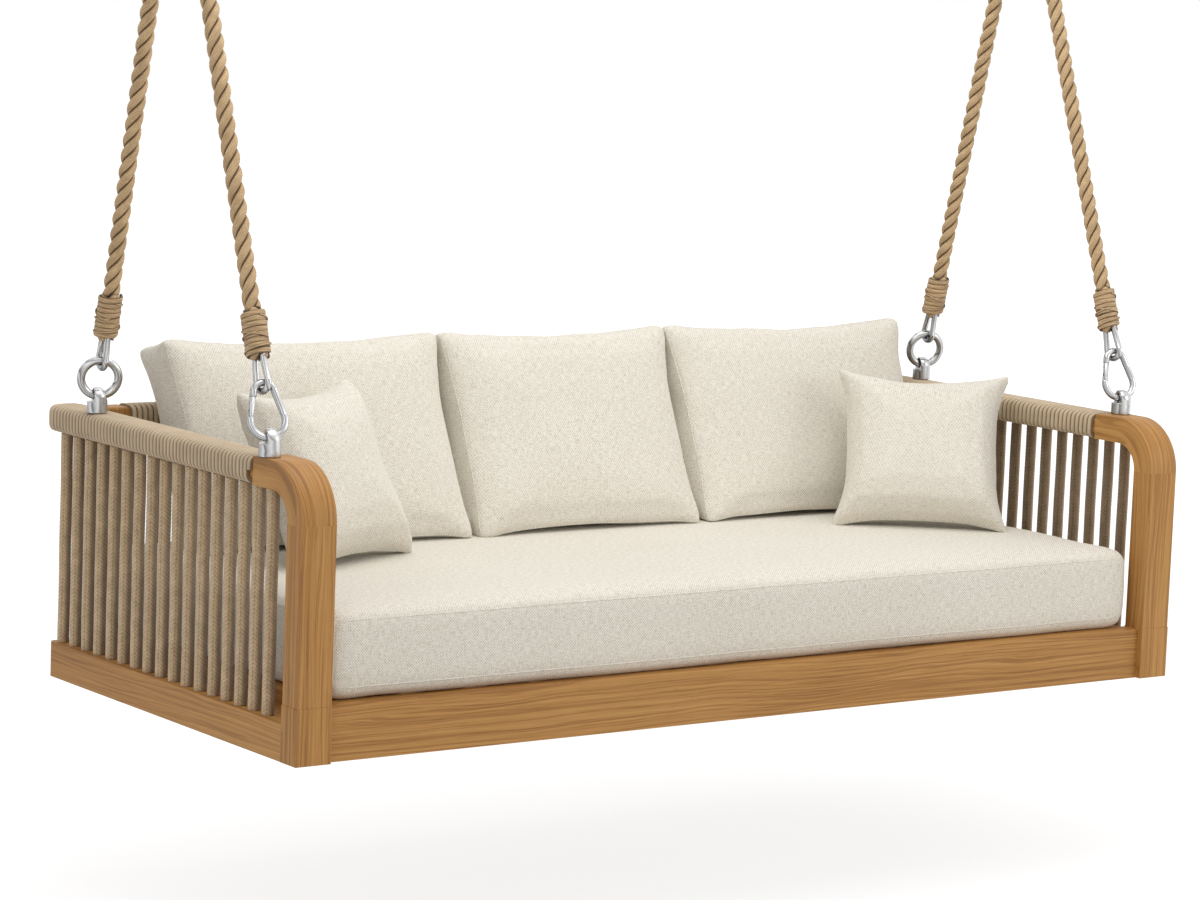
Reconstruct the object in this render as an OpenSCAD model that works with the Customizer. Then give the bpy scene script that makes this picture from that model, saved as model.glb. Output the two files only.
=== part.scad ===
// Hanging swing bed: a teak daybed with rope-wound arms, carried by one looped rope at each end.
// X runs along the bed, Y to its back, Z up. The origin is midway between the two ceiling plates,
// on the ceiling. The bed's own heights below are measured from the underside of its base.

/* [Bed] */
// Length over the posts
bed_l = 2200; // [2000:10:2400]
// Depth from post face to rear edge
bed_d = 1000; // [940:10:1050]
// Height of the arms' top face
arm_h = 560; // [540:1:620]
// Width of posts and elbows, along the bed
post_w = 74; // [66:1:80]
// Thickness of posts and elbows, front to back
post_t = 55; // [52:1:60]
// Outer radius of the elbows
elbow_r = 110; // [95:1:125]
// Height of front and back rails
rail_h = 107; // [95:1:120]
// Height of the side rails
side_rail_h = 72; // [65:1:85]
// Width of the side rails' top face
side_rail_w = 84; // [80:1:90]
// Overhang of the arms beyond the rear edge
arm_over = 38; // [0:1:45]

/* [Rope work] */
// Diameter of the carrying ropes
rope_d = 35; // [30:1:36]
// Diameter of the upright cords
cord_d = 25; // [16:1:26]
// Upright cords in each side
side_cords = 17; // [9:1:18]
// Upright cords in the back
back_cords = 36; // [20:1:38]
// Turns drawn round each arm
arm_turns = 24; // [12:1:24]
// Turns of each whipping
whip_turns = 8; // [5:1:8]

/* [Suspension] */
// Height of the ceiling over the base's underside
ceiling_z = 1880; // [1870:10:2000]
// Distance of the eyes from the bed's middle, along the bed
eye_x = 1078; // [1060:1:1080]
// Where the rope pairs meet, behind the bed's middle line
pair_y = 60; // [40:1:70]
// Turn of the carabiners and rings about the ropes' line
hook_turn = -18; // [-45:1:-10]

/* [Cushions] */
// Top of the seat cushion over the base's underside
seat_top = 284; // [270:1:300]
// Width of each back cushion
back_w = 626; // [600:1:640]
// Height of the back cushions over the seat
back_h = 424; // [380:1:440]
// Side of the toss pillows
toss_w = 385; // [350:1:410]

/* [Hidden] */
$fn = 64;
eps = 0.01;

wood = "#b8834c";
wrap = "#c2a883";
taupe = "#9c8a70";
manila = "#b28f63";
steel = "#c9cbcd";
linen = "#e6e0d3";

// ---- frame sizes
half_l = bed_l / 2;
half_d = bed_d / 2;
post_in = half_l - post_w;                 // inner face of posts
joint_y = -half_d + 187;                   // where elbow and arm meet
wind_t = 8;                                // thickness of the arms' flat winding
core_w = post_w - 4;                       // wooden arm inside the winding
core_t = 40;
arm_mid_z = arm_h - post_t / 2;
arm_mid_x = half_l - post_w / 2;
arm_end_y = half_d + arm_over - wind_t;
arm_corner_r = 34;                         // rounded rear corners of the arms
rear_post_w = 58;
rear_post_x = half_l - side_rail_w - rear_post_w / 2;
rear_post_h = arm_h - 3;
back_mid_y = half_d - 31;
back_core = 42;
front_rail_t = 42;
front_rail_y = -half_d + 13;               // face of the front rail, set back from the posts
dowel_d = 12;
dowel_l = 60;
dowel_bore = dowel_d + 0.3;
slats = 13;
slat_t = 20;
slat_w = 96;
ledger = 24;                               // the slats' rest along each long rail
ledger_h = 26;
beam_w = 50;                               // beams under the slats
beam_h = 45;

// ---- suspension sizes
wire_z = arm_h + 36;                       // axis that the bed turns on at its four eyes
carab_wire = 14;
carab_r = 33;                              // wide end, on the wire's centre line
carab_top_r = 20;
carab_h = 53;                              // between the two arcs' centres
ring_wire = 17;
ring_r = 37.5;
link_wire = 13;
link_r = 16.5;
link_top_r = 8.5;
link_h = 68;
link_drop_front = 16.4;                    // link's lowest point under the carabiner's top arc
link_drop_rear = 15.4;                     // the same under the ring's top
link_turn_front = -78;
link_turn_rear = -93;
end_d = 37.5;                              // doubled rope inside a whipping
end_l = 93;
end_start = 62.5;                          // from the link's lowest point to the rope end
bight_r = 2 * rope_d;                      // the rope's bend over its saddle
bight_z = 1550;                            // middle of the saddle's wheel
eye_y = [-half_d + 163, half_d - 148];     // front and rear eye
// The rope runs from an eye as a tangent to its bend over the saddle.
function reach(end) = norm([bight_z - wire_z, pair_y - eye_y[end < 0 ? 0 : 1]]);
function lean(end) = atan(abs(pair_y - eye_y[end < 0 ? 0 : 1]) / (bight_z - wire_z)) - asin(bight_r / reach(end));
sway_z = bight_z + 120;                    // axis of the sideways sway at the hanger eyes
pin_z = ceiling_z - 48;
pin_d = 12;
fit_gap = 0.16;                            // over a pin that turns in its bore
eye_plate_t = 14;
eye_flare = 5.2;                           // widening of an eye's hole towards its mouths
play = 0.3;

// ---- helpers
module hang() { translate([0, -pair_y, -ceiling_z]) children(); }
module flip(side) { mirror([side > 0 ? 1 : 0, 0, 0]) children(); }
module at_eye(side, end) {
    translate([side * eye_x, eye_y[end < 0 ? 0 : 1], wire_z]) rotate([end * lean(end), 0, 0]) children();
}
module in_plane() { rotate([90, 0, 0]) children(); }
module arc_tube(r, wire, from, sweep) {
    in_plane() rotate_extrude(angle = sweep, start = from) translate([r, 0]) circle(d = wire);
}
// Straight wire between two bends; it is a hair thinner than they are and runs 1 mm into each.
module rod(a, b, d) {
    v = b - a;
    translate(a) rotate([0, atan2(norm([v[0], v[1]]), v[2]), atan2(v[1], v[0])]) translate([0, 0, -1])
        cylinder(h = norm(v) + 2, d = d - 0.12);
}
// A closed body through a list of rings with equally many points, in order along the body.
module skin(rings) {
    n = len(rings[0]);
    last = (len(rings) - 1) * n;
    along = middle(rings[1]) - middle(rings[0]);
    clockwise = cross(rings[0][0] - middle(rings[0]), rings[0][1] - middle(rings[0])) * along < 0;
    faces = [
        for (i = [0:len(rings) - 2]) for (j = [0:n - 1]) each let (k = (j + 1) % n, a = i * n, b = a + n)
            [[a + j, b + k, a + k], [a + j, b + j, b + k]],
        for (j = [1:n - 2]) [0, j, j + 1],
        for (j = [1:n - 2]) [last, last + j + 1, last + j]];
    polyhedron(
        points = [for (ring = rings) each ring],
        faces = clockwise ? [for (f = faces) [f[0], f[2], f[1]]] : faces);
}
function middle(ring) = [for (i = [0:2]) sum([for (p = ring) p[i]]) / len(ring)];
function sum(list, i = 0) = i == len(list) - 1 ? list[i] : list[i] + sum(list, i + 1);
// One ring of a tube: centre, two unit directions across it, two half sizes.
function ring_at(c, u, v, a, b, sides, turn = 0) =
    [for (j = [0:sides - 1]) let (t = 360 * j / sides + turn) c + a * cos(t) * u + b * sin(t) * v];

// ---- joints of the frame: [x, y, z, direction of the dowel]
post_dowels = [for (z = [rail_h + 2, arm_h - elbow_r], dx = [-18, 18])
    [half_l - post_w / 2 + dx, -half_d + post_t / 2, z, "z"]];
arm_dowels = [for (dx = [-18, 18]) [arm_mid_x + dx, joint_y, arm_mid_z, "y"]];
rail_dowels = [for (z = [35, 78]) [post_in, front_rail_y + front_rail_t / 2, z, "x"]];
side_dowels = [for (dx = [-16, 16]) [half_l - side_rail_w / 2 + dx, -half_d + post_t + 1, side_rail_h / 2, "y"]];
rear_dowels = concat([[half_l - side_rail_w, half_d - 22, 54, "x"]],
    [for (z = [28, 82, arm_mid_z]) [half_l - side_rail_w - rear_post_w, back_mid_y, z, "x"]]);
dowels = concat(post_dowels, arm_dowels, rail_dowels, side_dowels, rear_dowels);
module dowel_at(list, d, l) {
    for (p = list) translate([p[0], p[1], p[2]])
        rotate(p[3] == "x" ? [0, 90, 0] : p[3] == "y" ? [90, 0, 0] : [0, 0, 0]) cylinder(h = l, d = d, center = true);
}

// ---- ceiling hangers
module ceiling_plate(side) {
    color(steel) translate([side * eye_x, pair_y, 0]) {
        difference() {
            translate([-45, -70, ceiling_z - 8]) cube([90, 140, 8]);
            for (dx = [-30, 30], dy = [-54, 54])
                translate([dx, dy, ceiling_z - 9]) cylinder(h = 10, d = 9);
        }
        for (dx = [-1, 1]) difference() {
            union() {
                translate([dx * 12 - 4, -17, pin_z]) cube([8, 34, ceiling_z - 8 - pin_z]);
                translate([dx * 12 - 4, 0, pin_z]) rotate([0, 90, 0]) cylinder(h = 8, d = 34);
            }
            translate([dx * 12 - 5, 0, pin_z]) rotate([0, 90, 0]) cylinder(h = 10, d = pin_d + 0.1);
        }
    }
}
module hanger_pins() {
    color(steel) for (side = [-1, 1]) translate([side * eye_x, pair_y, pin_z]) rotate([0, 90, 0]) {
        translate([0, 0, -22]) cylinder(h = 44, d = pin_d);
        translate([0, 0, -21]) cylinder(h = 4.6, d = 20);
        translate([0, 0, 16.4]) cylinder(h = 4.6, d = 20);
    }
}
// The strap that turns on the pin and holds the saddle's bow in its flared hole.
module hanger_eye(side) {
    throat = ring_wire / 2 + 2.6;
    hole_z = sway_z + throat - ring_wire / 2 - play;
    color(steel) translate([side * eye_x, pair_y, 0]) difference() {
        translate([-eye_plate_t / 2, 0, 0]) rotate([90, 0, 90]) linear_extrude(eye_plate_t) union() {
            translate([0, pin_z]) circle(r = 17);
            translate([0, hole_z]) circle(r = 25);
            translate([-17, hole_z]) square([34, pin_z - hole_z]);
        }
        translate([0, 0, pin_z]) rotate([0, 90, 0]) cylinder(h = 20, d = pin_d + fit_gap, center = true);
        translate([0, 0, hole_z]) flared_hole(throat, throat + 5.4, eye_plate_t / 2);
    }
}
// A hole along X that opens towards both faces, so a bent wire can lean in it.
module flared_hole(throat, mouth, half) {
    rotate([0, 90, 0]) {
        cylinder(h = 2 * half + 2, r = throat, center = true);
        for (m = [0, 1]) mirror([0, 0, m]) translate([0, 0, 0.8])
            cylinder(h = half - 0.8 + eps, r1 = throat, r2 = mouth);
    }
}
// The saddle that the rope runs over: a grooved wheel fast on its bar, under a bow of bent rod.
module rope_saddle(side) {
    half = 22;
    bow_r = 33;
    bow_z = sway_z - bight_z - bow_r;
    rim_r = bight_r - 4;
    web_r = bight_r - rope_d / 2 - 10;
    color(steel) translate([side * eye_x, pair_y, bight_z]) {
        rotate([0, 90, 0]) difference() {
            union() {
                cylinder(h = 2 * half, r = rim_r, center = true);
                cylinder(h = 2 * bow_r + ring_wire, r = 14, center = true);
            }
            rotate_extrude() translate([bight_r, 0]) circle(r = rope_d / 2 + 0.6);
            for (m = [0, 1]) mirror([0, 0, m]) translate([0, 0, 6]) difference() {
                cylinder(h = half, r = web_r);
                cylinder(h = half, r = 20);
            }
        }
        translate([0, 0, bow_z]) arc_tube(bow_r, ring_wire, 0, 180);
        for (m = [-1, 1]) rod([m * bow_r, 0, 0], [m * bow_r, 0, bow_z], ring_wire);
    }
}

// ---- ropes: up from the front rope end, over the saddle and down to the rear one
function link_foot(end) = end < 0 ? carab_r + carab_h + carab_top_r - link_drop_front : 2 * ring_r - link_drop_rear;
function end_foot(end) = link_foot(end) + end_start;
function chain_point(side, end, s) =
    [side * eye_x, eye_y[end < 0 ? 0 : 1] - end * s * sin(lean(end)), wire_z + s * cos(lean(end))];
function leg_l(end) = sqrt(pow(reach(end), 2) - bight_r * bight_r);
function rope_route(side) = concat(
    [for (i = [0:8]) [each chain_point(side, -1, lerp(end_foot(-1) + end_l + 0.4, leg_l(-1), i / 8)), -lean(-1)]],
    [for (i = [1:13]) let (t = lerp(180 - lean(-1), lean(1), i / 14))
        [side * eye_x, pair_y + bight_r * cos(t), bight_z + bight_r * sin(t), t - 180]],
    [for (i = [0:8]) [each chain_point(side, 1, lerp(leg_l(1), end_foot(1) + end_l + 0.4, i / 8)), lean(1) - 180]]);
function lerp(a, b, t) = a + (b - a) * t;
module rope(side) {
    // the fourth number of a point is the angle of the section's outward side, from -Y upwards
    color(manila) skin([for (p = rope_route(side))
        ring_at([p[0], p[1], p[2]], [1, 0, 0], [0, -cos(p[3]), -sin(p[3])], rope_d / 2, rope_d / 2, 10)]);
}
module pear_link(wire) {
    // lowest point of the wire's centre line at the origin
    tip = asin((link_r - link_top_r) / link_h);
    translate([0, 0, link_r]) {
        arc_tube(link_r, wire, 180 - tip, 180 + 2 * tip);
        translate([0, 0, link_h]) arc_tube(link_top_r, wire, tip, 180 - 2 * tip);
        for (m = [-1, 1]) rod(
            [m * link_r * cos(tip), 0, link_r * sin(tip)],
            [m * link_top_r * cos(tip), 0, link_h + link_top_r * sin(tip)], wire);
    }
}
module link_place(side, end) {
    at_eye(side, end) translate([0, 0, link_foot(end)])
        rotate([0, 0, end < 0 ? link_turn_front : link_turn_rear]) children();
}
module link(side, end) { color(steel) link_place(side, end) pear_link(link_wire); }
module rope_end(side, end) {
    color(manila) difference() {
        at_eye(side, end) translate([0, 0, end_foot(end)]) cylinder(h = end_l, d = end_d);
        link_place(side, end) pear_link(link_wire + 0.4);
    }
}
// Whipping: one flattened cord wound round the rope end, each end laid in straight.
whip_rings = 10;
whip_a = 2.5;
whip_b = 5;
whip_pitch = (end_l - 2 * whip_b - 2) / whip_turns;
whip_r = (end_d / 2 + 0.2 + whip_a) / cos(180 / whip_rings) + 0.1;
whip_points = [for (i = [0:whip_turns * whip_rings]) let (t = 360 * i / whip_rings)
    [whip_r * cos(t), whip_r * sin(t), whip_b + 1 + whip_pitch * i / whip_rings]];
module whipping(side, end) {
    last = whip_points[len(whip_points) - 1];
    color(manila) at_eye(side, end) translate([0, 0, end_foot(end)]) skin([
        whip_ring(whip_points[0] - [0, 2 * whip_b, 0], 0),
        for (i = [0:len(whip_points) - 1]) whip_ring(whip_points[i], 360 * i / whip_rings),
        whip_ring(last + [0, 2 * whip_b, 0], 360 * whip_turns)]);
}
function whip_ring(c, t) = ring_at(c, [cos(t), sin(t), 0], [0, 0, 1], whip_a, whip_b, 5, 36);

// ---- carabiners and rings
carab_tip = asin((carab_r - carab_top_r) / carab_h);
carab_along = [sin(carab_tip), 0, cos(carab_tip)];
carab_foot = [-carab_r * cos(carab_tip), 0, carab_r + carab_r * sin(carab_tip)];
function on_gate(s) = carab_foot + s * carab_along;
gate_pin_s = 8;
gate_end_s = 40;
gate_line = carab_h * cos(carab_tip);        // straight run between the two bends
tongue_t = 5;
module along_gate(s) { translate(on_gate(s)) rotate([0, carab_tip, 0]) children(); }
module carabiner(side) {
    color(steel) at_eye(side, -1) rotate([0, 0, hook_turn]) difference() {
        union() {
            translate([0, 0, carab_r]) arc_tube(carab_r, carab_wire, 180 - carab_tip, 180 + 2 * carab_tip);
            translate([0, 0, carab_r + carab_h])
                arc_tube(carab_top_r, carab_wire, carab_tip, 180 - 2 * carab_tip);
            rod([-carab_foot[0], 0, carab_foot[2]],
                [carab_top_r * cos(carab_tip), 0, carab_r + carab_h + carab_top_r * sin(carab_tip)], carab_wire);
            // stub and tongue under the gate's fork
            along_gate(0) {
                translate([0, 0, -1]) cylinder(h = 2.2, d = carab_wire - 0.12);
                translate([-6, -tongue_t / 2, 0]) cube([12, tongue_t, gate_pin_s]);
                translate([0, 0, gate_pin_s]) rotate([90, 0, 0]) cylinder(h = tongue_t, r = 6, center = true);
            }
            // stub and nose over the gate's tip
            along_gate(gate_end_s + 1) {
                cylinder(h = gate_line - gate_end_s, d = carab_wire - 0.12);
                translate([-4, -tongue_t / 2, -7]) cube([8, tongue_t, 8]);
                translate([0, 0, -7]) rotate([90, 0, 0]) cylinder(h = tongue_t, r = 4, center = true);
            }
        }
        along_gate(gate_pin_s) rotate([90, 0, 0]) cylinder(h = 20, d = 4 + fit_gap, center = true);
    }
}
module gate(side) {
    color(steel) at_eye(side, -1) rotate([0, 0, hook_turn]) {
        difference() {
            union() {
                along_gate(gate_pin_s) cylinder(h = gate_end_s - gate_pin_s, d = 12);
                along_gate(gate_pin_s) intersection() {
                    translate([0, 0, -7]) cylinder(h = 8, d = 12);
                    rotate([90, 0, 0]) cylinder(h = 20, r = 6.2, center = true);
                }
            }
            along_gate(0) translate([-10, -tongue_t / 2 - play, 0]) cube([20, tongue_t + 2 * play, 15]);
            along_gate(29) translate([-10, -tongue_t / 2 - play, 0]) cube([20, tongue_t + 2 * play, 12]);
        }
        along_gate(gate_pin_s) rotate([90, 0, 0]) cylinder(h = 12, d = 4, center = true);
    }
}
module rear_ring(side) {
    color(steel) at_eye(side, 1) rotate([0, 0, hook_turn]) translate([0, 0, ring_r]) in_plane()
        rotate_extrude() translate([ring_r, 0]) circle(d = ring_wire);
}

// ---- eyes on the arms: a round stud with a domed top, cut flat on two sides above its shoulder,
// and a flared hole through it
module eye_stud(side, end) {
    wire = end < 0 ? carab_wire : ring_wire;
    throat = wire / 2 + 3.2;
    half = 10;
    d = end < 0 ? 43 : 41;
    foot_z = end < 0 ? arm_h + 0.1 : arm_h + 1;
    hole_z = wire_z - throat + wire / 2 + 3 * play;
    color(steel) translate([side * eye_x, eye_y[end < 0 ? 0 : 1], 0]) rotate([0, 0, hook_turn]) difference() {
        union() {
            translate([0, 0, foot_z]) cylinder(h = hole_z - throat + 1 - foot_z, d = d);
            intersection() {
                translate([-half, -30, foot_z + 5]) cube([2 * half, 60, 80]);
                union() {
                    translate([0, 0, foot_z + 4]) cylinder(h = hole_z - foot_z - 5, d = d - 0.2);
                    translate([0, 0, hole_z - 1.4]) sphere(d = d - 0.5);
                }
            }
        }
        translate([0, 0, hole_z]) flared_hole(throat, throat + eye_flare, half);
    }
}

// ---- wooden frame
module front_block(side) {
    color(wood) flip(side) difference() {
        translate([-half_l - 1, -half_d - 1, 0]) cube([post_w + 2, post_t + 2, rail_h + 2]);
        mirror([1, 0, 0]) dowel_at(dowels, dowel_bore, dowel_l + 1);
    }
}
module front_post(side) {
    color(wood) flip(side) difference() {
        translate([-half_l, -half_d, rail_h + 2]) cube([post_w, post_t, arm_h - elbow_r - rail_h - 2]);
        mirror([1, 0, 0]) dowel_at(post_dowels, dowel_bore, dowel_l + 1);
    }
}
module elbow(side) {
    inner = elbow_r - post_t;
    color(wood) flip(side) difference() {
        translate([-half_l, -half_d, 0]) rotate([90, 0, 90]) linear_extrude(post_w) difference() {
            union() {
                translate([elbow_r, arm_h - elbow_r]) circle(r = elbow_r);
                translate([elbow_r, arm_h - post_t]) square([joint_y + half_d - elbow_r, post_t]);
            }
            translate([elbow_r, arm_h - elbow_r]) circle(r = inner);
            translate([-1, arm_h - 2 * elbow_r - 1]) square([2 * elbow_r + 200, elbow_r + 1]);
            translate([elbow_r, arm_h - elbow_r - 1]) square([elbow_r + 200, elbow_r - post_t + 1]);
            translate([joint_y + half_d, 0]) square([200, arm_h + 1]);
        }
        mirror([1, 0, 0]) dowel_at(concat(post_dowels, arm_dowels), dowel_bore, dowel_l + 1);
    }
}
// The wooden arm inside the winding: its long edges are chamfered for the cord, its rear corners rounded,
// and its last stretch is slimmer where the winding draws in.
module arm(side) {
    r = arm_corner_r - wind_t;
    y1 = arm_end_y - r - 2 * strap_b - 5;
    neck = core_w / 2 - drawn_in(arm_end_y - 2) - 0.4;
    b = core_t / 2;
    a = core_w / 2;
    cut = 6;
    color(wood) flip(side) difference() {
        intersection() {
            translate([-arm_mid_x, 0, arm_mid_z - b]) linear_extrude(core_t) union() {
                translate([-a, joint_y]) square([core_w, y1 - joint_y]);
                translate([-a + r, joint_y]) square([core_w - 2 * r, y1 + r - joint_y]);
                translate([-neck, joint_y]) square([2 * neck, arm_end_y - 2 - joint_y]);
                for (m = [-1, 1]) translate([m * (a - r), y1]) circle(r = r);
            }
            translate([-arm_mid_x, half_d, arm_mid_z]) rotate([90, 0, 0]) linear_extrude(bed_d)
                polygon([[a, -b + cut], [a, b - cut], [a - cut, b], [-a + cut, b],
                         [-a, b - cut], [-a, -b + cut], [-a + cut, -b], [a - cut, -b]]);
        }
        mirror([1, 0, 0]) dowel_at(arm_dowels, dowel_bore, dowel_l + 1);
    }
}
// Its top reaches over to the arm's winding and has rounded upper edges.
module rear_post(side) {
    ear_x = arm_mid_x - core_w / 2 - wind_t - 0.4;
    from = rear_post_x - rear_post_w / 2;
    color(wood) flip(side) difference() {
        translate([-from, half_d - post_t, 0]) mirror([1, 0, 0]) {
            cube([rear_post_w, post_t, rear_post_h - 6]);
            translate([0, 0, rear_post_h - 40]) cube([ear_x - from, post_t, 34]);
            translate([0, 6, rear_post_h - 40]) cube([ear_x - from, post_t - 12, 40]);
            for (y = [6, post_t - 6]) translate([0, y, rear_post_h - 6])
                rotate([0, 90, 0]) cylinder(h = ear_x - from, r = 6);
        }
        mirror([1, 0, 0]) dowel_at(rear_dowels, dowel_bore, dowel_l + 1);
    }
}
module back_top_rail() {
    l = 2 * rear_post_x - rear_post_w;
    color(wood) difference() {
        translate([-l / 2, back_mid_y - back_core / 2, arm_mid_z - back_core / 2]) cube([l, back_core, back_core]);
        for (m = [0, 1]) mirror([m, 0, 0]) dowel_at(rear_dowels, dowel_bore, dowel_l + 1);
    }
}
module back_rail_winding() {
    l = 2 * rear_post_x - rear_post_w - 2;
    s = back_core + 2 * wind_t;
    color(wrap) difference() {
        translate([-l / 2, back_mid_y, arm_mid_z]) rotate([90, 0, 90]) linear_extrude(l) soft_square(s, s, 10);
        translate([-l, back_mid_y - back_core / 2 - 0.1, arm_mid_z - back_core / 2 - 0.1])
            cube([2 * l, back_core + 0.2, back_core + 0.2]);
    }
}
module soft_square(a, b, r) {
    square([a - 2 * r, b], center = true);
    square([a, b - 2 * r], center = true);
    for (x = [-1, 1], y = [-1, 1]) translate([x * (a / 2 - r), y * (b / 2 - r)]) circle(r = r);
}

// ---- arm windings: one flat cord wound round the arm from the elbow to the rear end
arm_from = joint_y + 1;
arm_to = arm_end_y - 2;
arm_pitch = (arm_to - arm_from) / (arm_turns + 0.5);
strap_b = arm_pitch / 2 - 0.6;
// How far the arm's rounded rear corner has drawn in at y.
function drawn_in(y) =
    let (r = arm_corner_r - wind_t, d = y - (arm_end_y - r)) d <= 0 ? 0 : r - sqrt(max(0, r * r - d * d));
arm_rings = [
    for (i = [0:8 * arm_turns]) let (
        mid = wind_t / 2, a = core_w / 2 + mid + 0.2, c = core_t / 2 + mid + 0.2, cut = 7,
        y = arm_from + strap_b + (arm_to - arm_from - 2 * strap_b) * i / (8 * arm_turns),
        k = i % 8, ax = a - drawn_in(y + strap_b),
        p = [[ax, -c + cut], [ax, c - cut], [ax - cut, c], [-ax + cut, c],
             [-ax, c - cut], [-ax, -c + cut], [-ax + cut, -c], [ax - cut, -c]][k],
        q = [[1, -.4], [1, .4], [.4, 1], [-.4, 1], [-1, .4], [-1, -.4], [-.4, -1], [.4, -1]][k] * mid)
        [[p[0] + q[0], y - strap_b, p[1] + q[1]], [p[0] + q[0], y + strap_b, p[1] + q[1]],
         [p[0] - q[0], y + strap_b, p[1] - q[1]], [p[0] - q[0], y - strap_b, p[1] - q[1]]]];
module arm_winding(side) {
    color(wrap) flip(side) translate([-arm_mid_x, 0, arm_mid_z]) skin(arm_rings);
}
// Least gaps of the windings, from each point to the next turn.
echo(arm_winding_gap = min([for (i = [0:len(arm_rings) - 9], j = [0, 1])
    norm(arm_rings[i][1 + j] - arm_rings[i + 8][3 * j])]));
echo(whipping_gap = min([for (i = [0:len(whip_points) - whip_rings - 1])
    norm(whip_points[i] - whip_points[i + whip_rings])]) - 2 * whip_b * sin(108));

// ---- upright cords
cord_x = half_l - 21;
cord_from = joint_y - 45;
cord_to = half_d - 24;
cord_top = arm_mid_z - core_t / 2 - wind_t - 0.4;
module side_cord_group(side) {
    color(taupe) for (i = [0:side_cords - 1])
        translate([side * cord_x, lerp(cord_from, cord_to, i / (side_cords - 1)), side_rail_h])
            cylinder(h = (i == 0 ? arm_h - post_t : cord_top) - side_rail_h, d = cord_d);
}
module back_cord_group() {
    span = rear_post_x - rear_post_w / 2 - 28;
    color(taupe) for (i = [0:back_cords - 1])
        translate([lerp(-span, span, i / (back_cords - 1)), back_mid_y, rail_h])
            cylinder(h = arm_mid_z - back_core / 2 - wind_t - rail_h, d = cord_d);
}

// ---- base
module front_rail() {
    color(wood) difference() {
        union() {
            translate([-post_in + 1, front_rail_y, 0]) cube([2 * post_in - 2, front_rail_t, rail_h]);
            translate([-post_in + 60, front_rail_y + front_rail_t, rail_h - slat_t - ledger_h])
                cube([2 * post_in - 120, ledger, ledger_h]);
        }
        for (m = [0, 1]) mirror([m, 0, 0]) dowel_at(rail_dowels, dowel_bore, dowel_l + 1);
    }
}
module back_rail() {
    l = 2 * rear_post_x - rear_post_w;
    color(wood) difference() {
        union() {
            translate([-l / 2, back_mid_y - front_rail_t / 2, 0]) cube([l, front_rail_t, rail_h]);
            translate([-l / 2 + 20, back_mid_y - front_rail_t / 2 - ledger, rail_h - slat_t - ledger_h])
                cube([l - 40, ledger, ledger_h]);
        }
        for (m = [0, 1]) mirror([m, 0, 0]) dowel_at(rear_dowels, dowel_bore, dowel_l + 1);
    }
}
module side_rail(side) {
    r = 14;
    y0 = -half_d + post_t + 1;
    color(wood) flip(side) difference() {
        linear_extrude(side_rail_h) union() {
            translate([-half_l, y0]) square([side_rail_w, half_d - r - y0]);
            translate([-half_l + r, y0]) square([side_rail_w - r, half_d - y0]);
            translate([-half_l + r, half_d - r]) circle(r = r);
        }
        mirror([1, 0, 0]) dowel_at(concat(side_dowels, rear_dowels), dowel_bore, dowel_l + 1);
    }
}
module slat_deck() {
    y0 = front_rail_y + front_rail_t + 1;
    y1 = back_mid_y - front_rail_t / 2 - 1;
    span = rear_post_x - rear_post_w / 2 - slat_w / 2 - 26;
    bearer_w = half_l - side_rail_w - 1 - span - slat_w / 2;
    color(wood) union() {
        for (i = [0:slats - 1]) translate([lerp(-span, span, i / (slats - 1)) - slat_w / 2, y0, rail_h - slat_t])
            cube([slat_w, y1 - y0, slat_t]);
        for (y = [y0 + 0.33 * (y1 - y0), y0 + 0.67 * (y1 - y0)])
            translate([-span - slat_w / 2, y - beam_w / 2, rail_h - slat_t - beam_h])
                cube([2 * span + slat_w, beam_w, beam_h]);
        // bearers beside the side rails: a board over the ledgers and a beam between them
        for (m = [0, 1]) mirror([m, 0, 0]) translate([span + slat_w / 2 - 1, 0, rail_h - slat_t]) {
            translate([0, y0, 0]) cube([bearer_w, half_d - post_t - 2 - y0, slat_t]);
            translate([0, y0 + ledger + 1, -beam_h]) cube([bearer_w, y1 - y0 - 2 * ledger - 2, beam_h + 1]);
        }
    }
}
module frame_dowels() {
    color("#c79a63") for (m = [0, 1]) mirror([m, 0, 0]) dowel_at(dowels, dowel_d, dowel_l);
}

// ---- cushions
// Outline of a sewn panel: sides drawn in between the corners by pinch, corners rounded by r.
function panel(w, h, pinch, r, per_side, top = 0) = [for (q = [0:3]) for (i = [0:per_side - 1])
    let (half = (q % 2 == 0 ? h : w) / 2, last = per_side - 1,
         s = i == 0 ? -half + 0.35 * r : i == last ? half - 0.35 * r
           : lerp(-half + 1.1 * r, half - 1.1 * r, (i - 1) / (last - 2)),
         e = (pinch + (q == 1 ? top : 0)) * (1 - pow(s / half, 2)) + (i == 0 || i == last ? 0.24 * r : 0))
    q == 0 ? [w / 2 - e, s] : q == 1 ? [-s, h / 2 - e] : q == 2 ? [-w / 2 + e, -s] : [s, -h / 2 + e / 2]];
// Seat cushion: boxed, with a drawn-in seam round the top and bottom edges and a crowned top.
module seat_cushion() {
    w = 2 * (half_l - side_rail_w + 1);
    y0 = front_rail_y + 12;
    y1 = half_d - 66;
    z0 = rail_h + 0.6;
    t = seat_top - z0;
    // [height, inset of the outline]
    levels = [[0, 26], [0.02, 12], [0.09, 3], [0.13, 4.5], [0.17, 1], [0.5, 0], [0.85, 1], [0.885, 4.5], [0.915, 4],
              [0.96, 18], [0.985, 60], [1, 150]];
    color(linen) translate([0, (y0 + y1) / 2, z0]) skin([for (l = levels)
        [for (p = panel(w - 2 * l[1], y1 - y0 - 2 * l[1], 3, 30, 9)) [p[0], p[1], l[0] * t]]]);
}
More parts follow.
